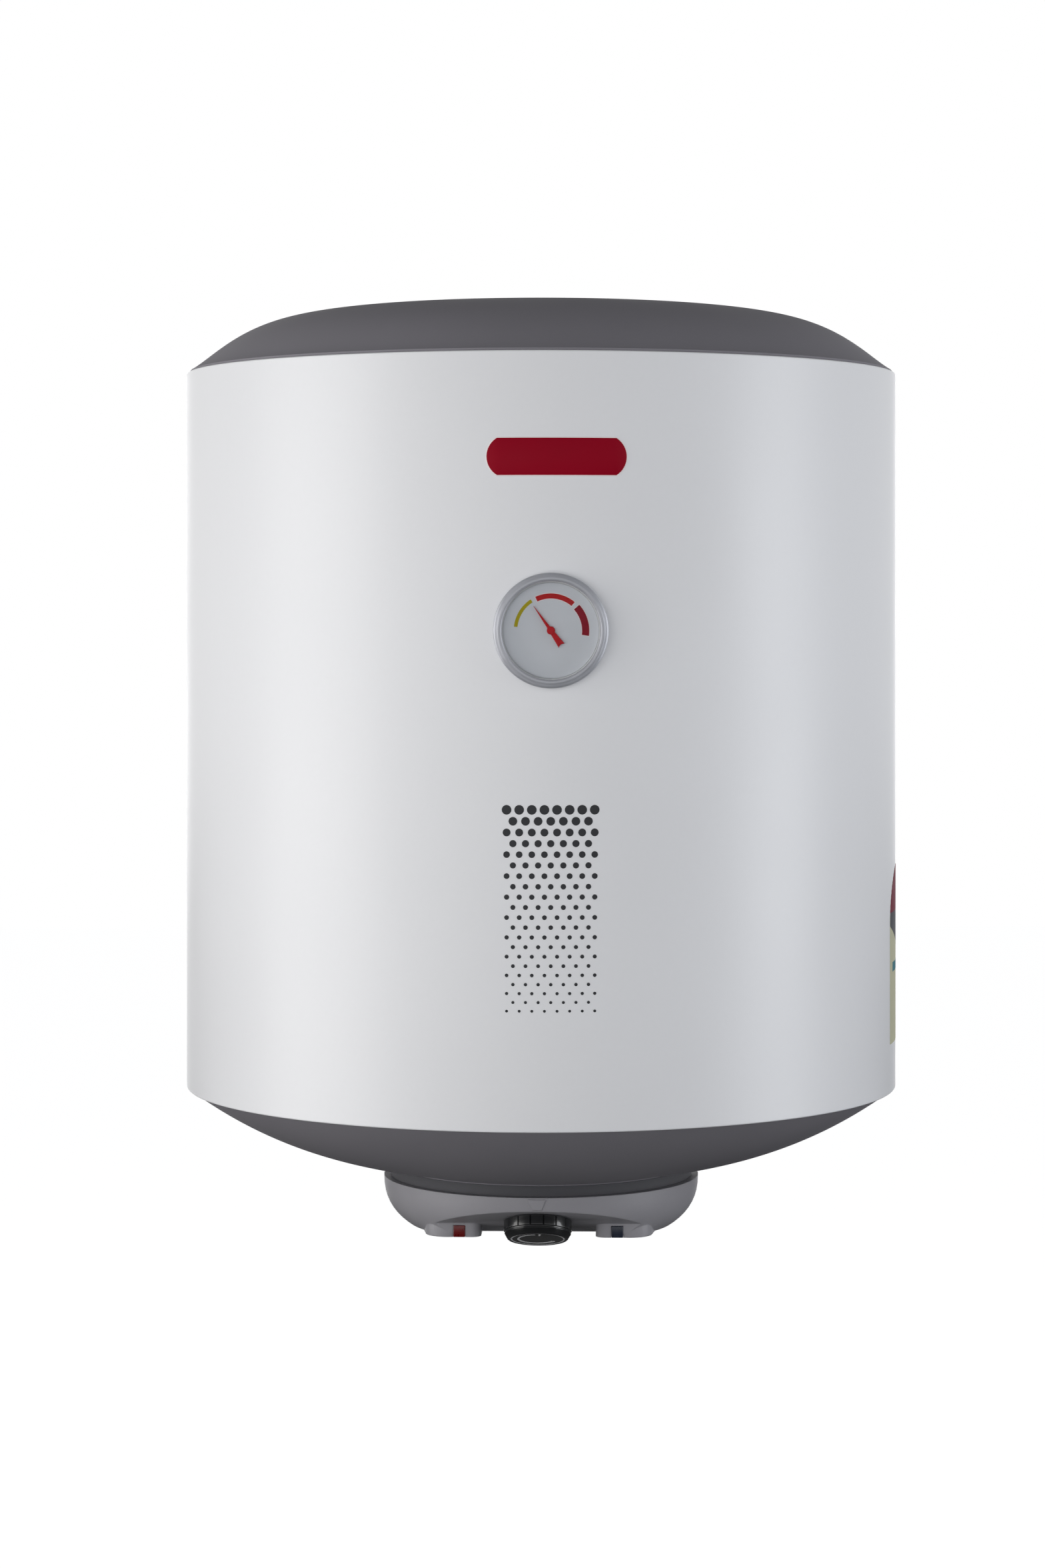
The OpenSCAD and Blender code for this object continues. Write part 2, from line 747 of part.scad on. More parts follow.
// A thin piece on the jacket's surface, cut to a shape drawn flat and pressed round the jacket
module on_jacket(angle, z) {
    difference() {
        intersection() {
            rotate(angle) translate([0, -jacket_r / 2, z]) rotate([90, 0, 0])
                linear_extrude(jacket_r) children();
            jacket_form(trim_t + 0.05);
        }
        jacket_form(0.05);
    }
}

module badge() to_wall() color("crimson") on_jacket(0, badge_z) {
    middle_w = badge_w - 2 * badge_end_r;
    translate([badge_x, 0]) intersection() {
        square([badge_w, badge_h], center = true);
        union() {
            square([middle_w, badge_h], center = true);
            for (side = [-1, 1]) translate([side * middle_w / 2, 0]) circle(r = badge_end_r);
        }
    }
}

module side_sticker() to_wall() color("beige") on_jacket(sticker_angle, sticker_z) {
    translate([-sticker_w / 2, 0]) square([sticker_w, sticker_h - sticker_w / 2]);
    translate([0, sticker_h - sticker_w / 2]) circle(d = sticker_w);
}

// ---- Tank and insulation ----

// A closed tank shape at a given depth inside its outer surface
module tank_form(inset) {
    r = tank_r - inset;
    h = head_h - inset;
    rotate_extrude() polygon(concat(
        [for (x = out_span(r, 20)) [x, tank_z0 + inset + head_z(x, r, h)]],
        [for (x = in_span(r, 20)) [x, tank_z1 - inset - head_z(x, r, h)]]
    ));
}

module tank_shell() to_wall() color("steelblue") difference() {
    tank_form(0);
    tank_form(tank_wall);
    cylinder(r = flange_open_r, h = 4 * head_gap, center = true);
    at_pipes() cylinder(r = pipe_r + thread_gap, h = jacket_h / 2);
}

module insulation() to_wall() color("khaki") difference() {
    foam_r = jacket_r - jacket_t - fit;
    cap_in = cap_r - cap_wall - fit;
    rotate_extrude() polygon(concat(
        [for (r = out_span(cap_in, dome_steps)) [r, dome_inner_z(r) + fit]],
        [[cap_in, skirt_h + fit], [foam_r, skirt_h + fit],
        [foam_r, jacket_h - skirt_h - fit], [cap_in, jacket_h - skirt_h - fit]],
        [for (r = in_span(cap_in, dome_steps)) [r, jacket_h + top_inner_z(r) - fit]]
    ));
    tank_form(-fit);
    translate([0, 0, -2 * neck_drop]) cylinder(r = neck_r + fit, h = 2 * neck_drop + 2 * head_gap);
    pipe_seats(seat_r + fit, seat_z + 6 + fit);
    at_pipes() cylinder(r = pipe_r + fit, h = 3 * neck_drop, center = true);
    for (side = [-1, 1])
        translate([side * web_spacing / 2 - web_w() / 2 - fit, 0, bracket_z - web_h() / 2 - fit])
            cube([web_w() + 2 * fit, wall_y, web_h() + 2 * fit]);
    gauge_axis() translate([0, 0, -case_depth - 2]) cylinder(r = case_r + 1, h = 2 * case_depth);
    translate([-4, -jacket_r + case_depth - 4, gauge_z - 82])
        cube([8, jacket_r - case_depth + 4 - tank_r + 4, 84]);
}

// ---- Flange and what it carries ----

module at_bolts() {
    for (i = [1:flange_bolt_n])
        rotate(360 * (i - 0.5) / flange_bolt_n) translate([flange_pcr, 0, 0]) children();
}

module flange_ring() to_wall() color("slategray") difference() {
    translate([0, 0, ring_z]) pipe(flange_r, flange_open_r, head_gap);
    tank_form(-thread_gap);
    at_bolts() cylinder(r = flange_bolt_d / 2 + running, h = ring_z + 8);
}

module flange_gasket() to_wall() color("black") difference() {
    translate([0, 0, gasket_z]) pipe(flange_r, flange_open_r, gasket_t);
    at_bolts() cylinder(r = flange_bolt_d / 2 + fit, h = ring_z + 8);
}

module flange_plate() to_wall() color("silver") difference() {
    translate([0, 0, plate_z]) cylinder(r = flange_r, h = flange_t);
    at_bolts() cylinder(r = flange_bolt_d / 2 + fit, h = 4 * ring_z, center = true);
    for (side = [-1, 1]) translate([side * leg_x, 0, 0])
        cylinder(r = element_d / 2 + thread_gap, h = 4 * ring_z, center = true);
    translate([0, well_y, 0])
        cylinder(r = well_d / 2 + thread_gap, h = 4 * ring_z, center = true);
    translate([0, anode_y, 0]) cylinder(r = 4.1, h = 4 * ring_z, center = true);
    // Threaded hole for the earth stud
    translate([-flange_open_r * 0.6, anode_y - 4, 0]) cylinder(r = 2.1, h = 4 * ring_z, center = true);
}

module flange_bolts() to_wall() color("silver") at_bolts() translate([0, 0, plate_z]) {
    head = flange_bolt_d * 0.66;
    translate([0, 0, -head]) cylinder(r = flange_bolt_d * 0.81, h = head, $fn = 6);
    cylinder(r = flange_bolt_d / 2, h = flange_t + gasket_t + 7.5);
}

// Half a ring of the element's sheath, standing on its two ends
module return_bend(width) {
    rotate([90, 0, 0]) rotate_extrude(angle = 180)
        translate([width / 2, 0]) circle(d = element_d);
}

module heating_element() to_wall() color("dimgray") {
    top = plate_z + element_h - element_pitch / 2;
    low = plate_z + 30;
    for (side = [-1, 1]) {
        translate([side * leg_x, 0, plate_z - 4]) cylinder(d = element_d, h = top - plate_z + 4);
        translate([side * element_pitch / 2, 0, low]) cylinder(d = element_d, h = top - low);
        translate([side * element_pitch, 0, top]) return_bend(element_pitch);
    }
    translate([0, 0, low]) rotate([0, 180, 0]) return_bend(element_pitch);
}

module element_terminals() to_wall() color("gold")
    for (side = [-1, 1]) translate([side * leg_x, 0, plate_z - 4]) {
        translate([0, 0, -3]) cylinder(r = 3.4, h = 3);
        translate([0, 0, -12]) cylinder(r = 2, h = 9);
        translate([0, 0, -8]) cylinder(r = 4, h = 3, $fn = 6);
    }

module thermowell() to_wall() color("silver") translate([0, well_y, plate_z - 4]) difference() {
    cylinder(d = well_d, h = well_h + 4);
    translate([0, 0, -over]) cylinder(d = well_d - 2, h = well_h + 3 + over);
}

module anode_rod() to_wall() color("lightgray") translate([0, anode_y, 0]) {
    translate([0, 0, plate_z + flange_t + 4]) cylinder(d = anode_d, h = anode_h);
    translate([0, 0, plate_z - 9]) cylinder(r = 4, h = flange_t + 13);
    translate([0, 0, plate_z + flange_t]) cylinder(r = 6.5, h = 4);
}

module anode_nut() to_wall() color("silver")
    translate([0, anode_y, plate_z - 6.5]) difference() {
        cylinder(r = 7.5, h = 6.5, $fn = 6);
        translate([0, 0, -over]) cylinder(r = 4 + running, h = 8 + over);
    }

module earth_stud() to_wall() color("gold")
    translate([-flange_open_r * 0.6, anode_y - 4, plate_z - 10]) {
        cylinder(r = 2, h = flange_t + 10);
        translate([0, 0, 6.8]) cylinder(r = 4, h = 3.2, $fn = 6);
    }

// ---- Water pipes ----

module cold_inlet_pipe() to_wall() color("silver")
    translate([pipe_spacing / 2, pipe_y, pipe_end]) water_pipe();

module hot_outlet_pipe() to_wall() color("silver")
    translate([-pipe_spacing / 2, pipe_y, pipe_end]) water_pipe();

module water_pipe() {
    pipe(thread_r, pipe_bore / 2, thread_h);
    translate([0, 0, thread_h])
        pipe(pipe_r, pipe_bore / 2, tank_z0 + head_h / 2 + 8 - pipe_end - thread_h);
}

// A closed cap with side slots, which spreads the cold water along the tank's floor
module inlet_diffuser() to_wall() color("white")
    translate([pipe_spacing / 2, pipe_y, tank_z0 + head_h / 2 + 8]) difference() {
        translate([0, 0, -8]) cylinder(r = pipe_bore / 2 - thread_gap, h = 24);
        translate([0, 0, -9]) cylinder(r = pipe_bore / 2 - 2, h = 23);
        for (a = [0, 60, 120]) translate([0, 0, 8]) rotate(a)
            cube([2 * pipe_bore, 3, 8], center = true);
    }

module hot_dip_tube() to_wall() color("white")
    translate([-pipe_spacing / 2, pipe_y, tank_z0 + head_h / 2 - 14])
        pipe(pipe_bore / 2 - thread_gap, pipe_bore / 2 - 1.4, tank_z1 - tank_z0 - head_h);

module collar(side) {
    translate([side * pipe_spacing / 2, pipe_y, seat_z - 3]) pipe(collar_d / 2, pipe_r + fit, 3);
}

module blue_collar() to_wall() color("royalblue") collar(1);

module red_collar() to_wall() color("red") collar(-1);

// ---- Cutout, terminals and wires ----

module thermal_cutout() to_wall() color("ivory") {
    translate([0, well_y, cutout_z]) difference() {
        union() {
            translate([-2, -13, -15]) cube([30, 26, 15]);
            translate([bulb_x, 0, -0.1]) cylinder(r = bulb_r, h = well_h * 0.7);
            translate([17, 13 - 0.1, -9]) cube([6, 6.1, 0.8]);
        }
        translate([9, 0, -16]) cylinder(r = 2.6, h = 7);
    }
}

// The trip button, which springs out when the cutout has tripped and is pushed in to reset it
module reset_button() to_wall() color("red")
    translate([9, well_y, cutout_z - 18.5]) cylinder(r = 2.5, h = 7.5);

module terminal_block() to_wall() color("white") difference() {
    translate([-18, shelf_y + 2, shelf_z - 12]) cube([36, 16, 12]);
    for (x = [-12, 0, 12]) {
        translate([x, shelf_y + 10, shelf_z - 12 - over]) cylinder(r = 2.3, h = 7 + over);
        translate([x, shelf_y + 2 - over, shelf_z - 7]) rotate([-90, 0, 0])
            cylinder(r = 1.6, h = 16 + 2 * over);
    }
}

module terminal_screws() to_wall() color("gold")
    for (x = [-12, 0, 12])
        translate([x, shelf_y + 10, shelf_z - 12.5]) difference() {
            cylinder(r = 2.2, h = 3.6);
            cube([6, 0.7, 1.4], center = true);
        }

// Two live wires: block to cutout, and thermostat to element
module live_wires() to_wall() color("saddlebrown") {
    sweep(curve([
        [12, shelf_y + 3, shelf_z - 7], [12, shelf_y - 3, shelf_z - 7], [18, shelf_y - 16, -24],
        [20, 6, -22.5], [20, well_y + 24, cutout_z - 8.6], [20, well_y + 20, cutout_z - 8.6]
    ], 5), wire_r, 8);
    sweep(curve([
        on_knob([10, stat_d / 2 + 7, cover_wall + 14.4]),
        on_knob([12, stat_d / 2 + 11, cover_wall + 14.4]),
        [32, -30, -42], [35, -12, -30], [31, 0, plate_z - 14], [leg_x + 3.4, 0, plate_z - 15],
    ], 5), wire_r, 8);
}

module neutral_wire() to_wall() color("dodgerblue")
    sweep(curve([
        [-12, shelf_y + 3, shelf_z - 7], [-12, shelf_y - 4, shelf_z - 7],
        [-22, shelf_y - 16, -26], [-31, 12, -24], [-33, 3, plate_z - 16],
        [-leg_x - 3.4, 0, plate_z - 15]
    ], 5), wire_r, 8);

module earth_wire() to_wall() color("yellowgreen")
    sweep(curve([
        [0, shelf_y + 3, shelf_z - 7], [0, shelf_y - 4, shelf_z - 7],
        [-8, shelf_y - 9, -24], [-20, shelf_y - 14, -18],
        [-flange_open_r * 0.6 - 3.4, anode_y - 4, plate_z - 9.5]
    ], 5), wire_r, 8);

module cable_gland() on_cover() color("black")
    translate([0, cover_r, gland_z]) rotate([-90, 0, 0]) difference() {
        union() {
            cylinder(r = 11, h = 5, $fn = 6);
            cylinder(r = 9, h = 9);
            translate([0, 0, -gland_seat - 5.5]) cylinder(r = gland_r, h = gland_seat + 6);
        }
        translate([0, 0, -2 * gland_seat]) cylinder(r = gland_bore_r, h = 4 * gland_seat);
    }

module gland_nut() on_cover() color("black")
    translate([0, cover_r - gland_seat, gland_z]) rotate([90, 0, 0]) difference() {
        cylinder(r = 10.5, h = 4, $fn = 6);
        translate([0, 0, -over]) cylinder(r = gland_r + thread_gap, h = 6);
    }

// ---- Wall bracket ----

function web_w() = bracket_t;
function web_h() = bracket_h - 8;

module wall_bracket() to_wall() color("lightgray") difference() {
    translate([0, wall_y, bracket_z]) {
        difference() {
            translate([-bracket_w / 2, -bracket_t, -bracket_h / 2])
                cube([bracket_w, bracket_t, bracket_h]);
            for (side = [-1, 1]) translate([side * bolt_spacing / 2, -bracket_t - over, 0])
                rotate([-90, 0, 0]) cylinder(d = bolt_hole_d, h = bracket_t + 2 * over);
        }
        // Stiffening flanges, bent forwards at the plate's two ends
        for (side = [-1, 1])
            translate([side * (bracket_w - bracket_t) / 2 - bracket_t / 2, -8, -bracket_h / 2])
                cube([bracket_t, 8, bracket_h]);
        for (side = [-1, 1])
            translate([side * web_spacing / 2 - web_w() / 2, -wall_y, -web_h() / 2])
                cube([web_w(), wall_y - bracket_t / 2, web_h()]);
    }
    cylinder(r = tank_r + thread_gap, h = jacket_h);
}

// Rubber stand-offs that keep the heater's foot away from the wall
module wall_bumpers() to_wall() color("black") difference() {
    for (side = [-1, 1]) translate([side * web_spacing / 2, 0, 50]) rotate([-90, 0, 0])
        cylinder(r = 12, h = wall_y);
    jacket_form(thread_gap);
}

jacket();
top_cap();
bottom_cap();
service_cover();
cover_seal();
cover_screws();
control_knob();
thermostat_spindle();
thermostat_body();
thermostat_screws();
thermostat_capillary();
red_lens();
blue_lens();
heating_lamp();
power_lamp();
gauge_bezel();
gauge_lens();
gauge_dial();
gauge_needle();
gauge_spindle();
gauge_case();
gauge_movement();
gauge_capillary();
badge();
side_sticker();
insulation();
tank_shell();
flange_ring();
flange_gasket();
flange_plate();
flange_bolts();
heating_element();
element_terminals();
thermowell();
anode_rod();
anode_nut();
cold_inlet_pipe();
inlet_diffuser();
hot_outlet_pipe();
hot_dip_tube();
blue_collar();
red_collar();
thermal_cutout();
reset_button();
terminal_block();
terminal_screws();
earth_stud();
live_wires();
neutral_wire();
earth_wire();
cable_gland();
gland_nut();
wall_bracket();
wall_bumpers();
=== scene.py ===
import json
import math

import bmesh
import bpy
from bpy.props import FloatProperty, FloatVectorProperty, IntProperty, PointerProperty
from mathutils import Matrix, Vector


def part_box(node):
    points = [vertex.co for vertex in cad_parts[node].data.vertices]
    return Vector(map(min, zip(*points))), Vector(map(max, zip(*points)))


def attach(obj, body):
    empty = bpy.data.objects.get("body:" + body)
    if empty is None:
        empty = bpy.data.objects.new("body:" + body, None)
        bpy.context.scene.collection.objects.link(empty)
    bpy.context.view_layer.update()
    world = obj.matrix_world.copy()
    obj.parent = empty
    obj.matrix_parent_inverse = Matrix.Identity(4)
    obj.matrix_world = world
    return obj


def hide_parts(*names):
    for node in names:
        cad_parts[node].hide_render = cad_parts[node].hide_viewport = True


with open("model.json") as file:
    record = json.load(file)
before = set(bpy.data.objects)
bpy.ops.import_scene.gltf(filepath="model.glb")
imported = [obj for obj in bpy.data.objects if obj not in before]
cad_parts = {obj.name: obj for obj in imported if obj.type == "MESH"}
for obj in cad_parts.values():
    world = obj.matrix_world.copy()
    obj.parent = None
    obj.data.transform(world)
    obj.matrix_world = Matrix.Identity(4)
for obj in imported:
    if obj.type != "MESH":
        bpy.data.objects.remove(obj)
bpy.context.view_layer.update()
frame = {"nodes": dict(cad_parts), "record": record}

bl_info = {
    "name": "Tank Water Heater",
    "version": (1, 0, 0),
    "blender": (4, 5, 0),
    "location": "3D View > Sidebar > Heater",
    "description": "Dresses a small wall-hung water heater in its visible skins and finishes",
    "category": "Add Mesh",
}

JACKET_LOW, JACKET_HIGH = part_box("jacket")

# Pieces are drawn in millimetres from the heater's axis at the jacket's lower rim, front at -Y
AXIS = (JACKET_LOW + JACKET_HIGH) / 2
ORIGIN = Vector((AXIS.x, AXIS.y, JACKET_LOW.z))
TO_FRAME = Matrix.Translation(ORIGIN) @ Matrix.Scale(0.001, 4)
TURN = 2 * math.pi


# ---- Sizes and colours ----

def linear(code):
    """The linear colour of an sRGB hex code such as "#9a9ca0"."""
    parts = [int(code[i:i + 2], 16) / 255 for i in (1, 3, 5)]
    return tuple(c / 12.92 if c < 0.04045 else ((c + 0.055) / 1.055) ** 2.4 for c in parts)


def length(name, millimetres, description):
    return FloatProperty(
        name=name, default=millimetres / 1000, unit="LENGTH", precision=4,
        description=description)


def angle(name, degrees, description):
    return FloatProperty(
        name=name, default=math.radians(degrees), subtype="ANGLE", description=description)


def colour(name, code, description):
    return FloatVectorProperty(
        name=name, default=linear(code), subtype="COLOR", min=0, max=1, description=description)


def mm(sizes, *names):
    """Lengths of a property group in millimetres."""
    values = [getattr(sizes, name) * 1000 for name in names]
    return values[0] if len(values) == 1 else values


class HeaterBodySizes(bpy.types.PropertyGroup):
    radius: length("Jacket radius", (JACKET_HIGH.x - JACKET_LOW.x) * 500, "Outside of the jacket")
    height: length("Jacket height", (JACKET_HIGH.z - JACKET_LOW.z) * 1000, "Rim to rim")
    rim: length("Rim thickness", 1.6, "Thickness of the jacket where its rims are turned in")
    cap: length("Cap radius", 188.1, "Radius of the two plastic caps inside the jacket's rims")
    top_rise: length("Top rise", 33.2, "Rise of the top cap above the jacket")
    crown: length("Crown", 5.0, "Extra rise at the middle of the top cap")
    bottom_drop: length("Bottom drop", 45.6, "Depth of the bottom cap at its middle")
    neck: length("Neck radius", 80.5, "Outside of the neck that carries the service cover")
    neck_drop: length("Neck drop", 48.0, "How far the neck reaches below the jacket")
    seam: angle("Seam angle", 26, "Where the jacket's lock seam runs, round from the wall")


class HeaterCoverSizes(bpy.types.PropertyGroup):
    turn: angle("Cover turn", -2.9, "How far the cover sits turned on its seat")
    tilt: angle("Panel tilt", 22, "Tilt of the knob's panel from level")
    soften: length("Edge radius", 0.8, "Rounding along the cover's moulded edges")
    knob_y: length("Knob forward", 65.1, "Knob's distance in front of the heater's axis")
    knob_z: length("Knob drop", 63.74, "Depth of the panel under the knob below the jacket")
    knob_radius: length("Knob radius", 17.7, "Radius of the knob's grip")
    knob_face: length("Knob face radius", 15.5, "Radius of the knob's face")
    knob_height: length("Knob height", 9.5, "Height of the knob above its gap")
    knob_gap: length("Knob gap", 0.6, "Gap between the panel and the knob")
    notches: IntProperty(name="Notches", default=16, min=4, description="Notches in the grip")


class HeaterGaugeSizes(bpy.types.PropertyGroup):
    height: length("Gauge height", 243.8, "Middle of the thermometer above the lower rim")
    radius: length("Bezel radius", 28.0, "Outside of the bezel")
    depth: length("Bezel depth", 8.0, "How far the bezel stands out of the jacket")
    glass: length("Glass radius", 24.5, "Radius of the clear window")
    dial: length("Dial radius", 23.3, "Radius of the printed dial")
    needle: angle("Needle at rest", -35.4, "Where the needle points, clockwise from upright")


class HeaterPrintSizes(bpy.types.PropertyGroup):
    badge_width: length("Badge width", 68.6, "Width of the badge round the jacket")
    badge_height: length("Badge height", 18.2, "Height of the badge")
    badge_z: length("Badge height above rim", 328.3, "Middle of the badge above the lower rim")
    badge_x: length("Badge offset", 3.0, "Middle of the badge to the right of the gauge")
    label_width: length("Label width", 60.0, "Width of the side label round the jacket")
    label_height: length("Label height", 93.0, "Height of the side label")
    label_z: length("Label foot", 26.0, "Lower edge of the side label above the rim")
    label_turn: angle("Label turn", 82, "Middle of the side label, round from the front")
    dot_pitch: length("Dot pitch", 6.13, "Spacing of the dots across a row")
    dot_top: length("First dot row", 156.8, "Height of the uppermost row of dots")
    dot_foot: length("Last dot row", 59.1, "Height of the lowest row of dots")
    dot_rows: IntProperty(name="Dot rows", default=21, min=2, description="Rows of dots")


class HeaterPipeSizes(bpy.types.PropertyGroup):
    spacing: length("Pipe spacing", 100.0, "Between the two pipes' middles")
    back: length("Pipes behind axis", 95.0, "Distance of the pipes behind the heater's axis")
    seat: length("Seat depth", 41.98, "Where the pipes leave the bottom cap, below the rim")
    reach: length("Pipe reach", 20.0, "How far the pipes stand out of their seats")
    thread: length("Thread radius", 10.48, "Radius over the crests of the pipe thread")
    pitch: length("Thread pitch", 1.81, "Distance from crest to crest")
    bore: length("Bore radius", 7.5, "Radius of the pipes' bore")
    collar: length("Collar radius", 16.0, "Radius of the coloured collars")


class HeaterColours(bpy.types.PropertyGroup):
    jacket: colour("Jacket", "#e3e4e7", "Baked enamel of the jacket")
    caps: colour("Caps", "#838187", "Moulded plastic of the two caps")
    cover: colour("Cover", "#8d8c91", "Moulded plastic of the service cover")
    knob: colour("Knob", "#1a1b1c", "Gloss plastic of the knob")
    marks: colour("Knob marks", "#e4e5e8", "Printed marks on the knob's face")
    lens_red: colour("Red lens", "#5c0406", "Lens of the heating lamp")
    lens_blue: colour("Blue lens", "#1c2230", "Lens of the mains lamp")
    bezel: colour("Bezel", "#acaeb5", "Satin plastic of the thermometer's bezel")
    dial: colour("Dial", "#cdcdd3", "Painted dial of the thermometer")
    cold_band: colour("Cold band", "#ab9a0e", "Band at the cold end of the dial")
    warm_band: colour("Warm band", "#b0161a", "Band in the middle of the dial")
    hot_band: colour("Hot band", "#86071f", "Band at the hot end of the dial")
    needle: colour("Needle", "#b3131d", "Thermometer's needle")
    badge: colour("Badge", "#8c001c", "Face of the badge")
    print_edge: colour("Print edge", "#e9dcdc", "Thin edge round the badge and the bands")
    dots: colour("Dots", "#26272b", "Dots on the front of the jacket")
    label: colour("Label", "#b7b69c", "Ground of the side label")
    label_top: colour("Label top", "#6c1c30", "Rounded top of the side label")
    label_wedge: colour("Label wedge", "#4a4b50", "Wedge under the label's top")
    label_block: colour("Label block", "#2b6f7a", "Block on the side label")


# ---- Mesh tools ----

def rounded(points, steps=5):
    """A closed outline of (x, y, radius) corners, each rounded by its radius."""
    outline = []
    for i, (x, y, radius) in enumerate(points):
        corner = Vector((x, y))
        if radius == 0:
            outline.append(corner)
            continue
        back = (Vector(points[i - 1][:2]) - corner).normalized()
        ahead = (Vector(points[(i + 1) % len(points)][:2]) - corner).normalized()
        half = back.angle(ahead) / 2
        centre = corner + (back + ahead).normalized() * radius / math.sin(half)
        start = corner + back * radius / math.tan(half) - centre
        end = corner + ahead * radius / math.tan(half) - centre
        outline += [centre + radius * start.slerp(end, k / steps) for k in range(steps + 1)]
    return outline


def arc(radius, start, end, steps):
    """Points on a circle, at angles measured clockwise from upright in degrees."""
    turns = [math.radians(start + (end - start) * k / steps) for k in range(steps + 1)]
    return [Vector((radius * math.sin(t), radius * math.cos(t))) for t in turns]


def lathe(points, steps=192, closed=True):
    """A profile of (radius, height) points turned round the Z axis."""
    bm = bmesh.new()
    verts = [bm.verts.new((p[0], 0, p[1])) for p in points]
    edges = [bm.edges.new(pair) for pair in zip(verts, verts[1:])]
    if closed:
        edges.append(bm.edges.new((verts[-1], verts[0])))
    bmesh.ops.spin(
        bm, geom=verts + edges, cent=(0, 0, 0), axis=(0, 0, 1), angle=TURN, steps=steps,
        use_merge=True)
    bmesh.ops.remove_doubles(bm, verts=bm.verts, dist=1e-4)
    bmesh.ops.recalc_face_normals(bm, faces=bm.faces)
    return bm


def round_edges(bm, width, segments=2, least=30, keep=lambda middle: False):
    """Rounds over every edge sharper than the least angle in degrees."""
    sharp = [e for e in bm.edges if e.calc_face_angle(0) > math.radians(least)
             and not keep((e.verts[0].co + e.verts[1].co) / 2)]
    bmesh.ops.bevel(
        bm, geom=sharp, offset=width, offset_type="OFFSET", affect="EDGES", segments=segments,
        profile=0.5, material=-1, clamp_overlap=True)


def thicken(bm, thickness):
    """Makes a solid of a mesh's only face, upwards."""
    made = bmesh.ops.extrude_face_region(bm, geom=bm.faces[:])["geom"]
    top = [v for v in made if isinstance(v, bmesh.types.BMVert)]
    bmesh.ops.translate(bm, verts=top, vec=(0, 0, thickness))
    bmesh.ops.recalc_face_normals(bm, faces=bm.faces)


def score(bm, point, normal):
    """Adds a line of edges where a plane crosses the mesh."""
    bmesh.ops.bisect_plane(bm, geom=bm.verts[:] + bm.edges[:] + bm.faces[:], dist=1e-4,
                           plane_co=point, plane_no=normal)


def slab(outline, low, high, edge=0.0, segments=2):
    """A flat outline made into a solid between two heights, with rounded edges."""
    bm = bmesh.new()
    bm.faces.new([bm.verts.new((p[0], p[1], low)) for p in outline])
    thicken(bm, high - low)
    if edge:
        round_edges(bm, edge, segments, least=50)
    return bm


def block(low, high, edge=0.0, segments=3):
    """A box between two corners with its edges rounded over."""
    low, high = Vector(low), Vector(high)
    bm = bmesh.new()
    bmesh.ops.create_cube(bm, size=1)
    bmesh.ops.scale(bm, verts=bm.verts, vec=high - low)
    bmesh.ops.translate(bm, verts=bm.verts, vec=(low + high) / 2)
    if edge:
        round_edges(bm, edge, segments)
    return bm


def join(target, *others):
    """Adds the other meshes to the first as loose shells."""
    for other in others:
        held = bpy.data.meshes.new("held")
        other.to_mesh(held)
        other.free()
        target.from_mesh(held)
        bpy.data.meshes.remove(held)
    return target


def softened(node, width, segments=2, least=30, keep=lambda middle: False):
    """A merged copy of a node's mesh, in millimetres, with its sharp edges rounded over.

    Edges whose middle the keep test accepts stay crisp.
    """
    bm = bmesh.new()
    bm.from_mesh(frame["nodes"][node].data)
    bmesh.ops.transform(bm, matrix=TO_FRAME.inverted(), verts=bm.verts)
    bmesh.ops.remove_doubles(bm, verts=bm.verts, dist=1e-3)
    bmesh.ops.dissolve_limit(
        bm, angle_limit=math.radians(0.6), verts=bm.verts, edges=bm.edges)
    round_edges(bm, width, segments, least, keep)
    return bm


def wrapped(bm, radius, turn=0.0, height=0.0, strip=4.0):
    """Bends a flat piece (X across, Y up, Z outward) round the jacket."""
    across = [v.co.x for v in bm.verts]
    for k in range(math.ceil(min(across) / strip), math.floor(max(across) / strip) + 1):
        score(bm, (k * strip, 0, 0), (1, 0, 0))
    for v in bm.verts:
        bend, reach = turn + v.co.x / radius, radius + v.co.z
        v.co = (reach * math.sin(bend), -reach * math.cos(bend), height + v.co.y)
    return bm


def make_piece(name, bm, material, slot, body="heater", stands_for=(), place=Matrix(),
               crease=35):
    """Makes the finished object in the frame's own place and hides the parts it stands for."""
    bmesh.ops.transform(bm, matrix=TO_FRAME @ place, verts=bm.verts)
    for face in bm.faces:
        face.smooth = True
    for edge in bm.edges:
        edge.smooth = edge.calc_face_angle(0) < math.radians(crease)
    mesh = bpy.data.meshes.new(name)
    bm.to_mesh(mesh)
    bm.free()
    mesh.materials.append(material)
    piece = bpy.data.objects.new(name, mesh)
    bpy.context.scene.collection.objects.link(piece)
    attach(piece, body)
    if stands_for:
        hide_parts(*stands_for)
    return piece


# ---- Finishes ----

def add(tree, kind, inputs=(), **settings):
    """Adds a node with its settings; an input is a value or another node's output."""
    node = tree.nodes.new("ShaderNode" + kind)
    for key, value in settings.items():
        setattr(node, key, value)
    for key, value in dict(inputs).items():
        if isinstance(value, bpy.types.NodeSocket):
            tree.links.new(value, node.inputs[key])
        else:
            node.inputs[key].default_value = value
    return node


def blank_tree(holder):
    """The emptied node tree of a new material or world."""
    holder.use_nodes = True
    holder.node_tree.nodes.clear()
    return holder.node_tree


def either(tree, *flags):
    """One where any of the light path's flags is set."""
    path = add(tree, "LightPath")
    first, *others = (path.outputs[flag] for flag in flags)
    for other in others:
        first = add(tree, "Math", {0: first, 1: other}, operation="MAXIMUM").outputs[0]
    return first


def mix(tree, factor, first, second):
    """Two shaders blended by a factor."""
    return add(tree, "MixShader", {"Fac": factor, 1: first, 2: second}).outputs[0]


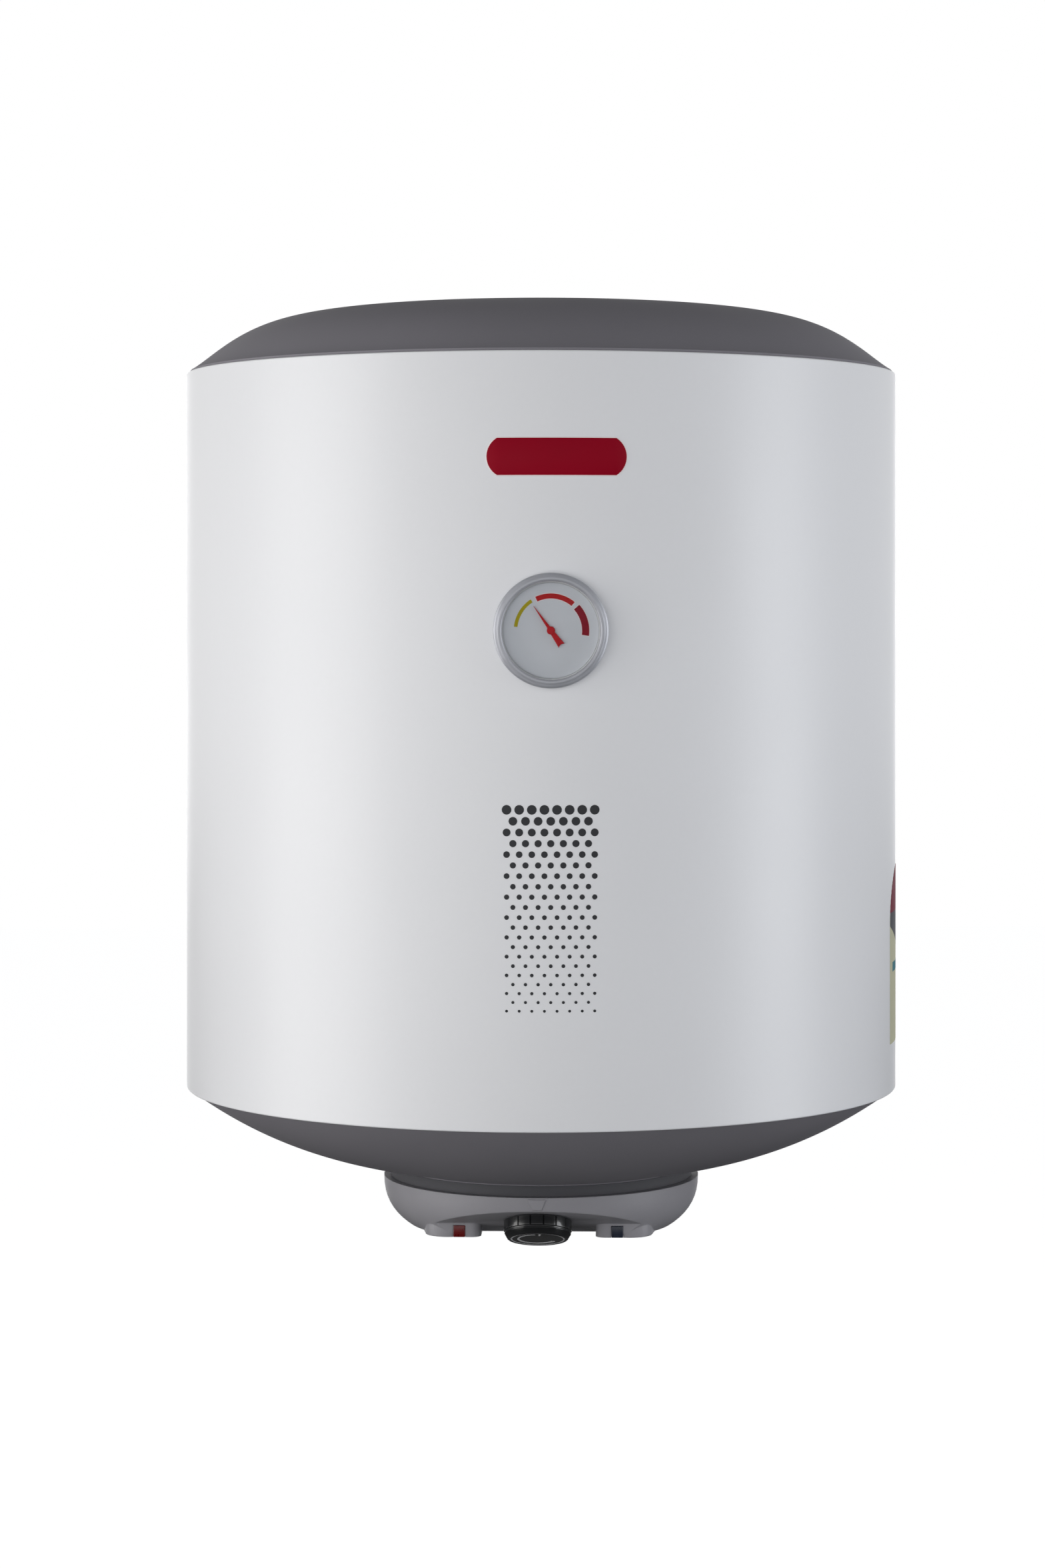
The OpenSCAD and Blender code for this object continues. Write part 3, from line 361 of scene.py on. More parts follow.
def finish(name, base, rough, grain=0.6, relief=0.01, tone=0.05, patch=45.0, smear=0.05,
           stretch=(1, 1, 1), soft=0.0, **shader):
    """A surface with a fine grain, broad changes of tone and gloss, and eased edges.

    grain and patch are the sizes of the fine and broad patterns in millimetres, relief is
    the height of the grain, tone and smear are how far colour and roughness wander, and
    soft is the radius to which edges are eased. Shader sockets are set by their names.
    """
    material = bpy.data.materials.new(name)
    tree = blank_tree(material)
    base = linear(base) if isinstance(base, str) else tuple(base)
    place = add(tree, "TexCoord").outputs["Object"]
    drawn = add(tree, "Mapping", {"Vector": place, "Scale": stretch}).outputs["Vector"]
    fine = add(tree, "TexNoise", {
        "Vector": drawn, "Scale": 1000 / grain, "Detail": 3.0, "Roughness": 0.6})
    broad = add(tree, "TexNoise", {"Vector": place, "Scale": 1000 / patch, "Detail": 2.0})
    both = add(tree, "Mix", {"Factor": 0.35, "A": broad.outputs["Fac"],
                             "B": fine.outputs["Fac"]}, data_type="FLOAT")
    ramp = add(tree, "ValToRGB", {"Fac": both.outputs["Result"]})
    for stop, at, level in zip(ramp.color_ramp.elements, (0.3, 0.7), (1 - tone, 1 + tone)):
        stop.position = at
        stop.color = (*[min(1, c * level) for c in base], 1)
    gloss = add(tree, "MapRange", {
        "Value": broad.outputs["Fac"], "From Min": 0.3, "From Max": 0.7,
        "To Min": max(0.02, rough - smear), "To Max": min(1, rough + smear)})
    bump = add(tree, "Bump", {
        "Height": fine.outputs["Fac"], "Strength": 1.0, "Distance": relief / 1000})
    if soft:
        eased = add(tree, "Bevel", {"Radius": soft / 1000}, samples=4)
        tree.links.new(eased.outputs["Normal"], bump.inputs["Normal"])
    skin = add(tree, "BsdfPrincipled", {
        "Base Color": ramp.outputs["Color"], "Roughness": gloss.outputs["Result"],
        "Normal": bump.outputs["Normal"]})
    for socket, value in shader.items():
        skin.inputs[socket.replace("_", " ")].default_value = value
    add(tree, "OutputMaterial", {"Surface": skin.outputs["BSDF"]})
    return material


def clear_window(name, rough=0.03):
    """Cast acrylic: clear, with a hard gloss, and lamps reach what lies behind it."""
    material = finish(name, "#f4f7f8", rough, grain=3.0, relief=0.0005, tone=0.0, smear=0.01,
                      Transmission_Weight=1.0, IOR=1.2)
    tree = material.node_tree
    skin, end = tree.nodes["Principled BSDF"], tree.nodes["Material Output"]
    open_way = add(tree, "BsdfTransparent", {"Color": (0.96, 0.97, 0.97, 1)})
    passed = either(tree, "Is Glossy Ray", "Is Diffuse Ray", "Is Shadow Ray")
    tree.links.new(mix(tree, passed, skin.outputs["BSDF"], open_way.outputs["BSDF"]),
                   end.inputs["Surface"])
    return material


def build_finishes(c):
    """Every material slot's finish, by the slot's name."""
    return {
        # Steel sheet with baked polyester enamel: smooth, with a faint orange-peel ripple
        "jacket_enamel": finish(
            "baked_enamel", c.jacket, 0.42, grain=2.4, relief=0.006, tone=0.012, patch=120,
            soft=0.5, Coat_Weight=0.3, Coat_Roughness=0.33),
        # Moulded polypropylene with a fine spark-eroded grain, which dulls its shine
        "cap_plastic": finish(
            "grained_polypropylene", c.caps, 0.6, grain=0.9, relief=0.012, tone=0.05,
            patch=70, soft=0.4, Specular_IOR_Level=0.12),
        # Moulded ABS, satin, a shade lighter than the caps
        "cover_plastic": finish(
            "satin_abs", c.cover, 0.48, grain=0.8, relief=0.01, tone=0.04, patch=30,
            soft=0.9, Specular_IOR_Level=0.35),
        # Nitrile rubber, dull and dark
        "seal_rubber": finish("nitrile_rubber", "#48484c", 0.75, grain=0.7, relief=0.02),
        # Zinc-plated steel: bluish bright metal with a cloudy plating
        "zinc_steel": finish(
            "zinc_plated_steel", "#b9bdc2", 0.3, grain=1.2, relief=0.004, tone=0.1, patch=6,
            smear=0.1, soft=0.15, Metallic=1.0),
        # Polished ABS with the mould's high gloss
        "knob_plastic": finish(
            "gloss_abs", c.knob, 0.2, grain=1.2, relief=0.002, tone=0.12, patch=10,
            Coat_Weight=0.5, Coat_Roughness=0.1),
        # Turned steel, with fine rings left by the tool
        "spindle_steel": finish(
            "turned_steel", "#a3a4a6", 0.32, grain=0.25, relief=0.003, tone=0.08, patch=4,
            stretch=(1, 1, 6), soft=0.1, Metallic=1.0),
        # Phenolic moulding, ivory, slightly mottled by its filler
        "switch_plastic": finish(
            "phenolic_moulding", "#cfc6ae", 0.55, grain=0.5, relief=0.015, tone=0.08,
            patch=12, soft=0.2),
        # Drawn copper tube with a thin brown tarnish
        "copper_tube": finish(
            "drawn_copper", "#b8775a", 0.35, grain=0.4, relief=0.003, tone=0.2, patch=9,
            smear=0.12, Metallic=1.0),
        # Dyed clear acrylic, dark until its lamp is lit
        "lens_red": finish(
            "red_acrylic", c.lens_red, 0.3, grain=1.0, relief=0.01, tone=0.25, patch=3,
            Coat_Weight=0.15, Coat_Roughness=0.15, Subsurface_Weight=0.15,
            Subsurface_Scale=0.001),
        "lens_blue": finish(
            "blue_acrylic", c.lens_blue, 0.3, grain=1.0, relief=0.01, tone=0.25, patch=3,
            Coat_Weight=0.15, Coat_Roughness=0.15),
        # Soda-lime glass of the neon lamps, with a warm tint from the gas
        "lamp_glass": finish(
            "neon_lamp_glass", "#e8c7a4", 0.06, grain=2.0, relief=0.001, tone=0.05, patch=4,
            smear=0.02, Transmission_Weight=0.7, IOR=1.52),
        # ABS with a satin silver lacquer, whose fine flake glitters a little
        "bezel_plastic": finish(
            "silver_lacquered_abs", c.bezel, 0.38, grain=0.35, relief=0.003, tone=0.06,
            patch=9, soft=0.25, Metallic=0.35),
        "gauge_glass": clear_window("clear_acrylic"),
        # Matt paint on aluminium sheet
        "dial_paint": finish(
            "matt_dial_paint", c.dial, 0.6, grain=0.5, relief=0.002, tone=0.015, patch=20),
        # Gloss paint on a stamped needle
        "needle_paint": finish(
            "gloss_red_paint", c.needle, 0.45, grain=0.8, relief=0.002, tone=0.06, patch=4,
            Specular_IOR_Level=0.1),
        # Polystyrene case behind the dial
        "gauge_case_plastic": finish(
            "white_polystyrene", "#d5d6d6", 0.5, grain=0.8, relief=0.008, tone=0.03, soft=0.2),
        # Machined brass: yellow metal, fine tool marks, edges a little brighter
        "brass_parts": finish(
            "machined_brass", "#c9a75c", 0.28, grain=0.3, relief=0.004, tone=0.1, patch=5,
            smear=0.08, stretch=(1, 1, 5), soft=0.1, Metallic=1.0),
        # Moulded badge under a gloss lacquer
        "badge_plastic": finish(
            "lacquered_badge", c.badge, 0.5, grain=1.0, relief=0.002, tone=0.03, patch=15,
            Specular_IOR_Level=0.1),
        # Printed polyester film, which lies close to the enamel
        "sticker_film": finish(
            "printed_film", c.label, 0.4, grain=1.5, relief=0.002, tone=0.02, patch=25),
        # Rigid polyurethane foam: cream, with cells of about a millimetre
        "foam": finish(
            "polyurethane_foam", "#d8c48c", 0.85, grain=1.1, relief=0.25, tone=0.14, patch=18),
        # Titanium-bearing vitreous enamel on steel: deep blue-grey, glassy, faintly pitted
        "tank_enamel": finish(
            "vitreous_enamel", "#39424c", 0.22, grain=1.6, relief=0.012, tone=0.12, patch=30,
            Coat_Weight=0.4, Coat_Roughness=0.12),
        "gasket_rubber": finish(
            "epdm_rubber", "#262728", 0.7, grain=0.6, relief=0.02, tone=0.1, soft=0.2),
        # Pressed steel with a passivated zinc plating, slightly yellow
        "flange_steel": finish(
            "passivated_steel", "#bcb795", 0.36, grain=0.8, relief=0.005, tone=0.12, patch=16,
            smear=0.1, soft=0.3, Metallic=1.0),
        # Drawn nickel-alloy sheath, darkened by heat
        "element_sheath": finish(
            "oxidised_nickel_alloy", "#6d6257", 0.45, grain=0.5, relief=0.006, tone=0.25,
            patch=14, smear=0.15, Metallic=1.0),
        "stainless_tube": finish(
            "drawn_stainless_steel", "#b4b3af", 0.25, grain=0.3, relief=0.002, tone=0.06,
            patch=8, stretch=(6, 6, 1), Metallic=1.0),
        # Cast magnesium, grey and slightly rough from the mould
        "magnesium": finish(
            "cast_magnesium", "#8f9190", 0.6, grain=0.9, relief=0.04, tone=0.12, patch=12,
            Metallic=0.8),
        # Welded steel pipe, zinc plated, with cloudy patches
        "pipe_steel": finish(
            "galvanised_pipe", "#a9abae", 0.34, grain=0.7, relief=0.006, tone=0.14, patch=7,
            smear=0.12, Metallic=1.0),
        # Extruded polypropylene tube
        "tube_plastic": finish(
            "natural_polypropylene", "#dfe0da", 0.5, grain=1.0, relief=0.006, tone=0.03,
            Subsurface_Weight=0.1, Subsurface_Scale=0.002),
        # Soft polyethylene collars, dyed to tell cold from hot
        **{"collar_" + dye: finish(
            dye + "_polyethylene", tint, 0.48, grain=0.8, relief=0.01, tone=0.06, patch=9,
            soft=0.3) for dye, tint in (("blue", "#1f4f9a"), ("red", "#a81e1e"))},
        "button_red": finish(
            "red_nylon", "#b51a1a", 0.4, grain=0.6, relief=0.006, tone=0.05, patch=4, soft=0.2),
        # Steatite ceramic, off-white, matt and slightly chalky
        "block_plastic": finish(
            "steatite_ceramic", "#dcd8cb", 0.6, grain=0.7, relief=0.02, tone=0.05, soft=0.3),
        # Wire insulation: PVC with a faint extrusion grain
        **{"wire_" + dye: finish(
            dye + "_pvc", tint, 0.42, grain=0.5, relief=0.006, tone=tone, patch=patch)
            for dye, tint, tone, patch in (
                ("brown", "#5a3620", 0.06, 12), ("blue", "#2a5d9c", 0.06, 12),
                ("green_yellow", "#7f9a23", 0.3, 5))},
        # Glass-filled nylon, black with a faint bloom
        "black_nylon": finish(
            "glass_filled_nylon", "#202123", 0.5, grain=0.5, relief=0.012, tone=0.15, patch=6,
            soft=0.3),
        # Cold-rolled steel with epoxy powder coat: light grey with a fine peel
        "bracket_steel": finish(
            "powder_coated_steel", "#c4c6c9", 0.45, grain=1.1, relief=0.015, tone=0.03,
            patch=40, soft=0.4),
        "bumper_rubber": finish(
            "moulded_rubber", "#2a2a2b", 0.72, grain=0.9, relief=0.025, tone=0.12, patch=10,
            soft=0.5),
    }


class HEATER_OT_finishes(bpy.types.Operator):
    """Give every part of the frame the finish of its material slot"""
    bl_idname = "heater.finishes"
    bl_label = "Finishes"

    def execute(self, context):
        finishes = build_finishes(context.scene.heater_colours)
        for slot, material in finishes.items():
            material["slot"] = slot
            material.use_fake_user = True
        for part in frame["record"]["subparts"]:
            for slot in frame["nodes"][part["node"]].material_slots:
                slot.material = finishes[part["material_slot"]]
        return {"FINISHED"}


def slot_finish(slot):
    """The material made for a slot."""
    return next(m for m in bpy.data.materials if m.get("slot") == slot)


def skin(name, bm, slot, **settings):
    """A piece in its slot's own finish."""
    return make_piece(name, bm, slot_finish(slot), slot, **settings)


# ---- Jacket and caps ----

class HEATER_OT_jacket(bpy.types.Operator):
    """Roll the enamelled jacket with its turned-in rims and the lock seam down its back"""
    bl_idname = "heater.jacket"
    bl_label = "Jacket"

    def execute(self, context):
        sizes = context.scene.heater_body
        radius, height, rim = mm(sizes, "radius", "height", "rim")
        bend = rim / 2 - 0.05
        shell = lathe(rounded([
            (radius, 0, bend), (radius, height, bend), (radius - rim, height, bend),
            (radius - rim, 0, bend)], steps=6), steps=256)
        skin("jacket_shell", shell, "jacket_enamel", stands_for=["jacket"])
        seam = block((-5, radius - 0.6, 8), (5, radius + 0.4, height - 8), 0.35)
        skin("jacket_seam", seam, "jacket_enamel", place=Matrix.Rotation(sizes.seam, 4, "Z"))
        return {"FINISHED"}


def falling(start, end, steps, crowd):
    """Radii from start to end, crowded towards the start."""
    return [start + (end - start) * (1 - math.cos(math.pi / 2 * k / steps)) ** crowd
            for k in range(steps + 1)]


class HEATER_OT_caps(bpy.types.Operator):
    """Turn the domed top cap, and the bottom cap with its neck and pipe seats"""
    bl_idname = "heater.caps"
    bl_label = "Caps"

    def execute(self, context):
        sizes, pipes = context.scene.heater_body, context.scene.heater_pipes
        cap, rise, crown, drop = mm(sizes, "cap", "top_rise", "crown", "bottom_drop")
        neck, neck_drop, height = mm(sizes, "neck", "neck_drop", "height")
        wall, skirt = 2.5, 14

        def top_z(r):
            main = max(0, 1 - (r / (cap + 3.42)) ** 7.4) ** 1.55
            middle = max(0, 1 - (r / 119.7) ** 2) ** 2
            return height + rise * main + crown * middle

        def bottom_z(r):
            return -drop * (1 - (min(r, cap) / cap) ** 3.03)

        radii = falling(cap, 0, 72, 1.0)
        outside = [(r, top_z(r)) for r in reversed(radii)]
        inside = [(r * (cap - wall) / cap, top_z(r) - wall) for r in radii]
        shell = lathe(
            outside + [(cap, height - skirt), (cap - wall, height - skirt)] + inside,
            steps=256, closed=False)
        skin("top_cap_shell", shell, "cap_plastic", stands_for=["top_cap"])

        foot = bottom_z(neck)
        dome = [(r, bottom_z(r)) for r in falling(cap, neck + 3.5, 64, 1.0)]
        within = [(r, bottom_z(r) + wall) for r in falling(neck - wall, cap - wall, 32, 1.0)]
        profile = ([(cap, skirt)] + dome + [(neck, foot - 0.9), (neck, -neck_drop + 0.4),
                   (neck - 0.4, -neck_drop), (neck - wall, -neck_drop)] + within
                   + [(cap - wall, skirt)])
        cap_shell = lathe(profile, steps=256)
        seat, spacing, back, collar = mm(pipes, "seat", "spacing", "back", "collar")
        for side in (-1, 1):
            ring = lathe(rounded([
                (collar + 3, -seat, 0.8), (collar + 3, 4 - seat, 0), (12.3, 4 - seat, 0),
                (12.3, -seat, 0.4)]), steps=64)
            bmesh.ops.translate(ring, verts=ring.verts, vec=(side * spacing / 2, back, 0))
            join(cap_shell, ring)
        skin("bottom_cap_shell", cap_shell, "cap_plastic", stands_for=["bottom_cap"])

        sleeve = lathe(rounded([
            (neck - 2.3, -neck_drop - 1, 0), (neck + 0.5, -neck_drop - 1, 0.3),
            (neck + 0.5, foot - 1.3, 0.2), (neck + 0.03, foot - 1.3, 0.1),
            (neck + 0.03, -neck_drop, 0), (neck - 2.3, -neck_drop, 0)], steps=3), steps=192)
        skin("cover_seal_sleeve", sleeve, "seal_rubber", stands_for=["cover_seal"])
        return {"FINISHED"}


# ---- Service cover ----

def knob_place(cover):
    """From the knob's own axes, Z outward and the pointer at -Y, to the heater's."""
    return (Matrix.Rotation(cover.turn, 4, "Z")
            @ Matrix.Translation((0, -mm(cover, "knob_y"), -mm(cover, "knob_z")))
            @ Matrix.Rotation(-cover.tilt, 4, "X") @ Matrix.Rotation(math.pi, 4, "Y"))


class HEATER_OT_cover(bpy.types.Operator):
    """Ease the moulded edges of the service cover"""
    bl_idname = "heater.cover"
    bl_label = "Service cover"

    def execute(self, context):
        cover = context.scene.heater_cover
        unturn = Matrix.Rotation(-cover.turn, 4, "Z")

        def keep(middle):
            """The pointer mark and the hidden inside keep their crisp edges."""
            x, y, z = unturn @ middle
            panel_z = -55.9 - (y + 84.5) * math.tan(cover.tilt)
            return (abs(x) < 6 and y < -66 and z > panel_z + 0.3) or z > max(-66, panel_z + 0.6)

        skin("service_cover_shell", softened("service_cover", mm(cover, "soften"), 3,
                                             keep=keep),
             "cover_plastic", stands_for=["service_cover"])
        return {"FINISHED"}


class HEATER_OT_knob(bpy.types.Operator):
    """Turn the notched knob and print the ring and the rising mark on its face"""
    bl_idname = "heater.knob"
    bl_label = "Knob"

    def execute(self, context):
        cover, colours = context.scene.heater_cover, context.scene.heater_colours
        radius, face, tall, gap = mm(cover, "knob_radius", "knob_face", "knob_height",
                                     "knob_gap")
        grip = 5.2
        bm = lathe(rounded([
            (0, gap + 2.4, 0), (radius - 2.4, gap + 2.4, 0), (radius - 2.4, gap, 0),
            (radius, gap, 0.3), (radius, gap + grip, 0.35),
            (radius - 0.7, gap + grip + 0.3, 0.15), (radius - 0.7, gap + grip + 0.8, 0.15),
            (radius - 0.3, gap + grip + 1.2, 0.3), (face + 0.35, gap + tall - 0.5, 0.25),
            (face - 0.3, gap + tall, 0.5), (face - 1.1, gap + tall, 0.1),
            (face - 1.3, gap + tall - 0.25, 0.1), (0, gap + tall - 0.25, 0)], steps=4),
            steps=256, closed=False)
        score(bm, (0, 0, gap + grip - 0.5), (0, 0, 1))
        pitch = TURN / cover.notches
        for v in bm.verts:
            reach = math.hypot(v.co.x, v.co.y)
            off = (math.atan2(v.co.y, v.co.x) / pitch) % 1 - 0.5
            if abs(off) < 0.045 and reach > radius - 0.5 and v.co.z < gap + grip:
                deep = 0.75 if abs(off) < 0.02 else 0.6
                v.co.x *= (reach - deep) / reach
                v.co.y *= (reach - deep) / reach
        place = knob_place(cover)
        skin("control_knob_shell", bm, "knob_plastic", body="knob",
             stands_for=["control_knob"], place=place)

        top = gap + tall - 0.25
        # Pad-printed ink: a thin satin film
        ink = finish("silver_ink", colours.marks, 0.35, grain=0.5, relief=0.001, tone=0.05,
                     patch=5)
        ring = lathe([(face - 2.2, top - 0.05), (face - 2.2, top + 0.04),
                      (face - 1.4, top + 0.04), (face - 1.4, top - 0.05)], steps=128)
        # A mark that widens clockwise from the pointer, as seen on the face
        outer = arc(10.6, 186, 418, 60)
        inner = [p * (1 - (0.05 + 0.16 * k / 60)) for k, p in enumerate(outer)]
        rising = slab([(-p.x, p.y) for p in outer + inner[::-1]], top - 0.05, top + 0.04)
        stop = slab([(-p.x, p.y) for p in arc(11.4, 170, 176, 2) + arc(7.6, 176, 170, 2)],
                    top - 0.05, top + 0.04)
        make_piece("knob_marks", join(ring, rising, stop), ink, "knob_plastic", body="knob",
                   place=place)
        return {"FINISHED"}


class HEATER_OT_lamps(bpy.types.Operator):
    """Ease the edges of the two square lamp lenses"""
    bl_idname = "heater.lamps"
    bl_label = "Lamp lenses"

    def execute(self, context):
        for node, slot in (("red_lens", "lens_red"), ("blue_lens", "lens_blue")):
            skin(node + "_block", softened(node, 0.35, 3), slot, stands_for=[node])
        return {"FINISHED"}


# ---- Thermometer ----

def gauge_place(gauge, body):
    """From the dial's own axes, Z outward and Y up, to the heater's."""
    return (Matrix.Translation((0, -mm(body, "radius"), mm(gauge, "height")))
            @ Matrix.Rotation(math.pi / 2, 4, "X"))


class HEATER_OT_thermometer(bpy.types.Operator):
    """Build the thermometer: bezel, window, dial, coloured bands and needle"""
    bl_idname = "heater.thermometer"
    bl_label = "Thermometer"

    def execute(self, context):
        gauge, colours = context.scene.heater_gauge, context.scene.heater_colours
        place = gauge_place(gauge, context.scene.heater_body)
        radius, depth, glass, dial = mm(gauge, "radius", "depth", "glass", "dial")
        bezel = lathe(rounded([
            (radius, -3.6, 0), (radius, 4.6, 0.5), (radius - 0.9, 5.2, 0.3),
            (radius - 1.0, 6.2, 0.3), (radius - 2.0, depth - 0.4, 0.8),
            (radius - 3.4, depth, 1.2), (glass - 0.7, depth - 1.2, 0.35),
            (glass - 0.7, 3.2, 0), (glass + 0.3, 3.2, 0), (glass + 0.3, -3.6, 0)], steps=6),
            steps=192)
        skin("gauge_bezel_ring", bezel, "bezel_plastic", stands_for=["gauge_bezel"],
             place=place)
        window = lathe([(0, 5.0), (glass - 0.9, 5.0), (glass - 0.9, 6.1), (0, 6.1)],
                       steps=128, closed=False)
        skin("gauge_window", window, "gauge_glass", stands_for=["gauge_lens"], place=place)
        plate = lathe([(0, 2.0), (dial, 2.0), (dial, 2.55), (dial - 0.05, 2.6), (0, 2.6)],
                      steps=128, closed=False)
        skin("gauge_dial_plate", plate, "dial_paint", stands_for=["gauge_dial"], place=place)

        # Screen-printed bands, each a thin film of ink on the dial
        edge_ink = finish("pale_ink", colours.print_edge, 0.5, grain=0.6, relief=0.001,
                          tone=0.02, patch=8, Specular_IOR_Level=0.1)
        bands = (("cold_band", colours.cold_band, 16.3, 18.0, -84, -33, False),
                 ("warm_band", colours.warm_band, 15.5, 18.0, -25, 40, True),
                 ("hot_band", colours.hot_band, 15.1, 18.6, 47.6, 98, True))
        for name, tint, inner, outer, start, end, edged in bands:
            film = slab(arc(outer, start, end, 40) + arc(inner, end, start, 40), 2.6, 2.68)
            make_piece(name, film, finish(name + "_ink", tint, 0.5, grain=0.6, relief=0.001,
                                          tone=0.05, patch=6, Specular_IOR_Level=0.1),
                       "dial_paint", place=place)
            if edged:
                rim, turn = 0.3, math.degrees(0.3 / outer)
                film = slab(arc(outer + rim, start - turn, end + turn, 40)
                            + arc(inner - rim, end + turn, start - turn, 40), 2.6, 2.64)
                make_piece(name + "_edge", film, edge_ink, "dial_paint", place=place)

        # Needle: long point, round hub, short tail with a hollow end
        hub = 2.0
        tail = [Vector((1.75 - 3.5 * k / 8, -8.3 - 0.75 * abs(k / 4 - 1) ** 2))
                for k in range(9)]
        point = slab([(-0.9, 0), (-0.06, 14.7), (0.06, 14.7), (0.9, 0)], 3.0, 3.6, 0.08)
        rear = slab([(-1.0, 0), (1.0, 0)] + [tuple(p) for p in tail], 3.0, 3.6, 0.1)
        boss = lathe(rounded([(0, 2.95, 0), (hub, 2.95, 0), (hub, 3.9, 0.35), (0, 4.2, 0)]),
                     steps=48, closed=False)
        turn = Matrix.Rotation(-gauge.needle, 4, "Z")
        skin("gauge_needle_blade", join(point, rear, boss), "needle_paint", body="needle",
             stands_for=["gauge_needle"], place=place @ turn)
        return {"FINISHED"}


# ---- Prints on the jacket ----

def badge_outline(width, height, end, inset=0.0):
    """A bar with arched ends."""
    middle = width / 2 - end
    end, half = end - inset, height / 2 - inset
    limit = math.degrees(math.asin(half / end))
    right = [Vector((middle, 0)) + p for p in arc(end, 90 - limit, 90 + limit, 16)]
    return right + [-p for p in right]


class HEATER_OT_badge(bpy.types.Operator):
    """Bend the bare badge round the jacket, with its thin pale edge"""
    bl_idname = "heater.badge"
    bl_label = "Badge"

    def execute(self, context):
        prints, colours = context.scene.heater_prints, context.scene.heater_colours
        radius = mm(context.scene.heater_body, "radius")
        width, tall, height, across = mm(prints, "badge_width", "badge_height", "badge_z",
                                         "badge_x")
        proud = (AXIS.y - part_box("badge")[0].y) * 1000 - radius
        turn = across / radius
        # Radius of the arched ends, and the width of the pale line round the face
        end, line = 10.6, 0.4
        rim = wrapped(slab(badge_outline(width, tall, end, -line), 0, proud - 0.05, 0.15),
                      radius, turn, height)
        # The edge is a line of white ink under the lacquer
        make_piece("badge_edge", rim,
                   finish("white_badge_ink", colours.print_edge, 0.4, grain=1.0,
                          relief=0.001, tone=0.02, patch=10), "badge_plastic")
        face = wrapped(slab(badge_outline(width, tall, end, 0.05), 0, proud, 0.03),
                       radius, turn, height)
        skin("badge_face", face, "badge_plastic", stands_for=["badge"])
        return {"FINISHED"}


class HEATER_OT_label(bpy.types.Operator):
    """Lay the bare side label: its ground, rounded top, wedge and block"""
    bl_idname = "heater.label"
    bl_label = "Side label"

    def execute(self, context):
        prints, colours = context.scene.heater_prints, context.scene.heater_colours
        radius = mm(context.scene.heater_body, "radius")
        width, tall, foot = mm(prints, "label_width", "label_height", "label_z")
        half, shoulder = width / 2, tall - width / 2
        crown = [Vector((0, shoulder)) + p for p in arc(half, -90, 90, 32)]
        shapes = (
            ("label_ground", colours.label, [(half, 0), (-half, 0)] + crown, 0.10),
            ("label_top", colours.label_top,
             [Vector((0, shoulder)) + p for p in arc(half, -78.5, 78.5, 28)], 0.14),
            ("label_wedge", colours.label_wedge,
             [(-half * 0.98, shoulder + 6), (half * 0.98, shoulder + 6), (half, shoulder),
              (half, shoulder - 22), (-half, shoulder - 1)], 0.13),
            ("label_block", colours.label_block,
             [(8.3 - half, 37.5), (half - 8.3, 37.5), (half - 8.3, 42.5),
              (8.3 - half, 42.5)], 0.13))
        for name, tint, outline, proud in shapes:
            film = wrapped(slab(outline, 0.0, proud), radius, prints.label_turn, foot)
            ink = finish(name + "_film", tint, 0.55, grain=1.5, relief=0.002, tone=0.03,
                         patch=25, Specular_IOR_Level=0.1)
            make_piece(name, film, ink, "sticker_film",
                       stands_for=["side_sticker"] if name == "label_ground" else ())
        return {"FINISHED"}


class HEATER_OT_dots(bpy.types.Operator):
    """Print the field of dots, which grow smaller down the jacket"""
    bl_idname = "heater.dots"
    bl_label = "Dots"

    def execute(self, context):
        prints, colours = context.scene.heater_prints, context.scene.heater_colours
        radius = mm(context.scene.heater_body, "radius")
        pitch, top, foot = mm(prints, "dot_pitch", "dot_top", "dot_foot")
        rows, film = prints.dot_rows, 0.08
        field = bmesh.new()
        for row in range(rows):
            down = row / (rows - 1)
            size = 1.4 + 1.8 * (1 - down) + 1.55 * (1 - down) ** 6
            height = top - (top - foot) * (down + 0.14 * down * (1 - down))
            count = 8 - row % 2
            for k in range(count):
                turn = (k - (count - 1) / 2) * pitch / radius
                spot = bmesh.new()
                bmesh.ops.create_circle(spot, cap_ends=True, segments=16, radius=size / 2)
                thicken(spot, film)
                join(field, wrapped(spot, radius, turn, height, strip=10))
        # Solvent ink, near black and slightly satin on the enamel
        ink = finish("dot_ink", colours.dots, 0.45, grain=0.8, relief=0.001, tone=0.06,
                     patch=12)
        make_piece("dot_field", field, ink, "sticker_film")
        return {"FINISHED"}


# ---- Pipes, gland and wall side ----

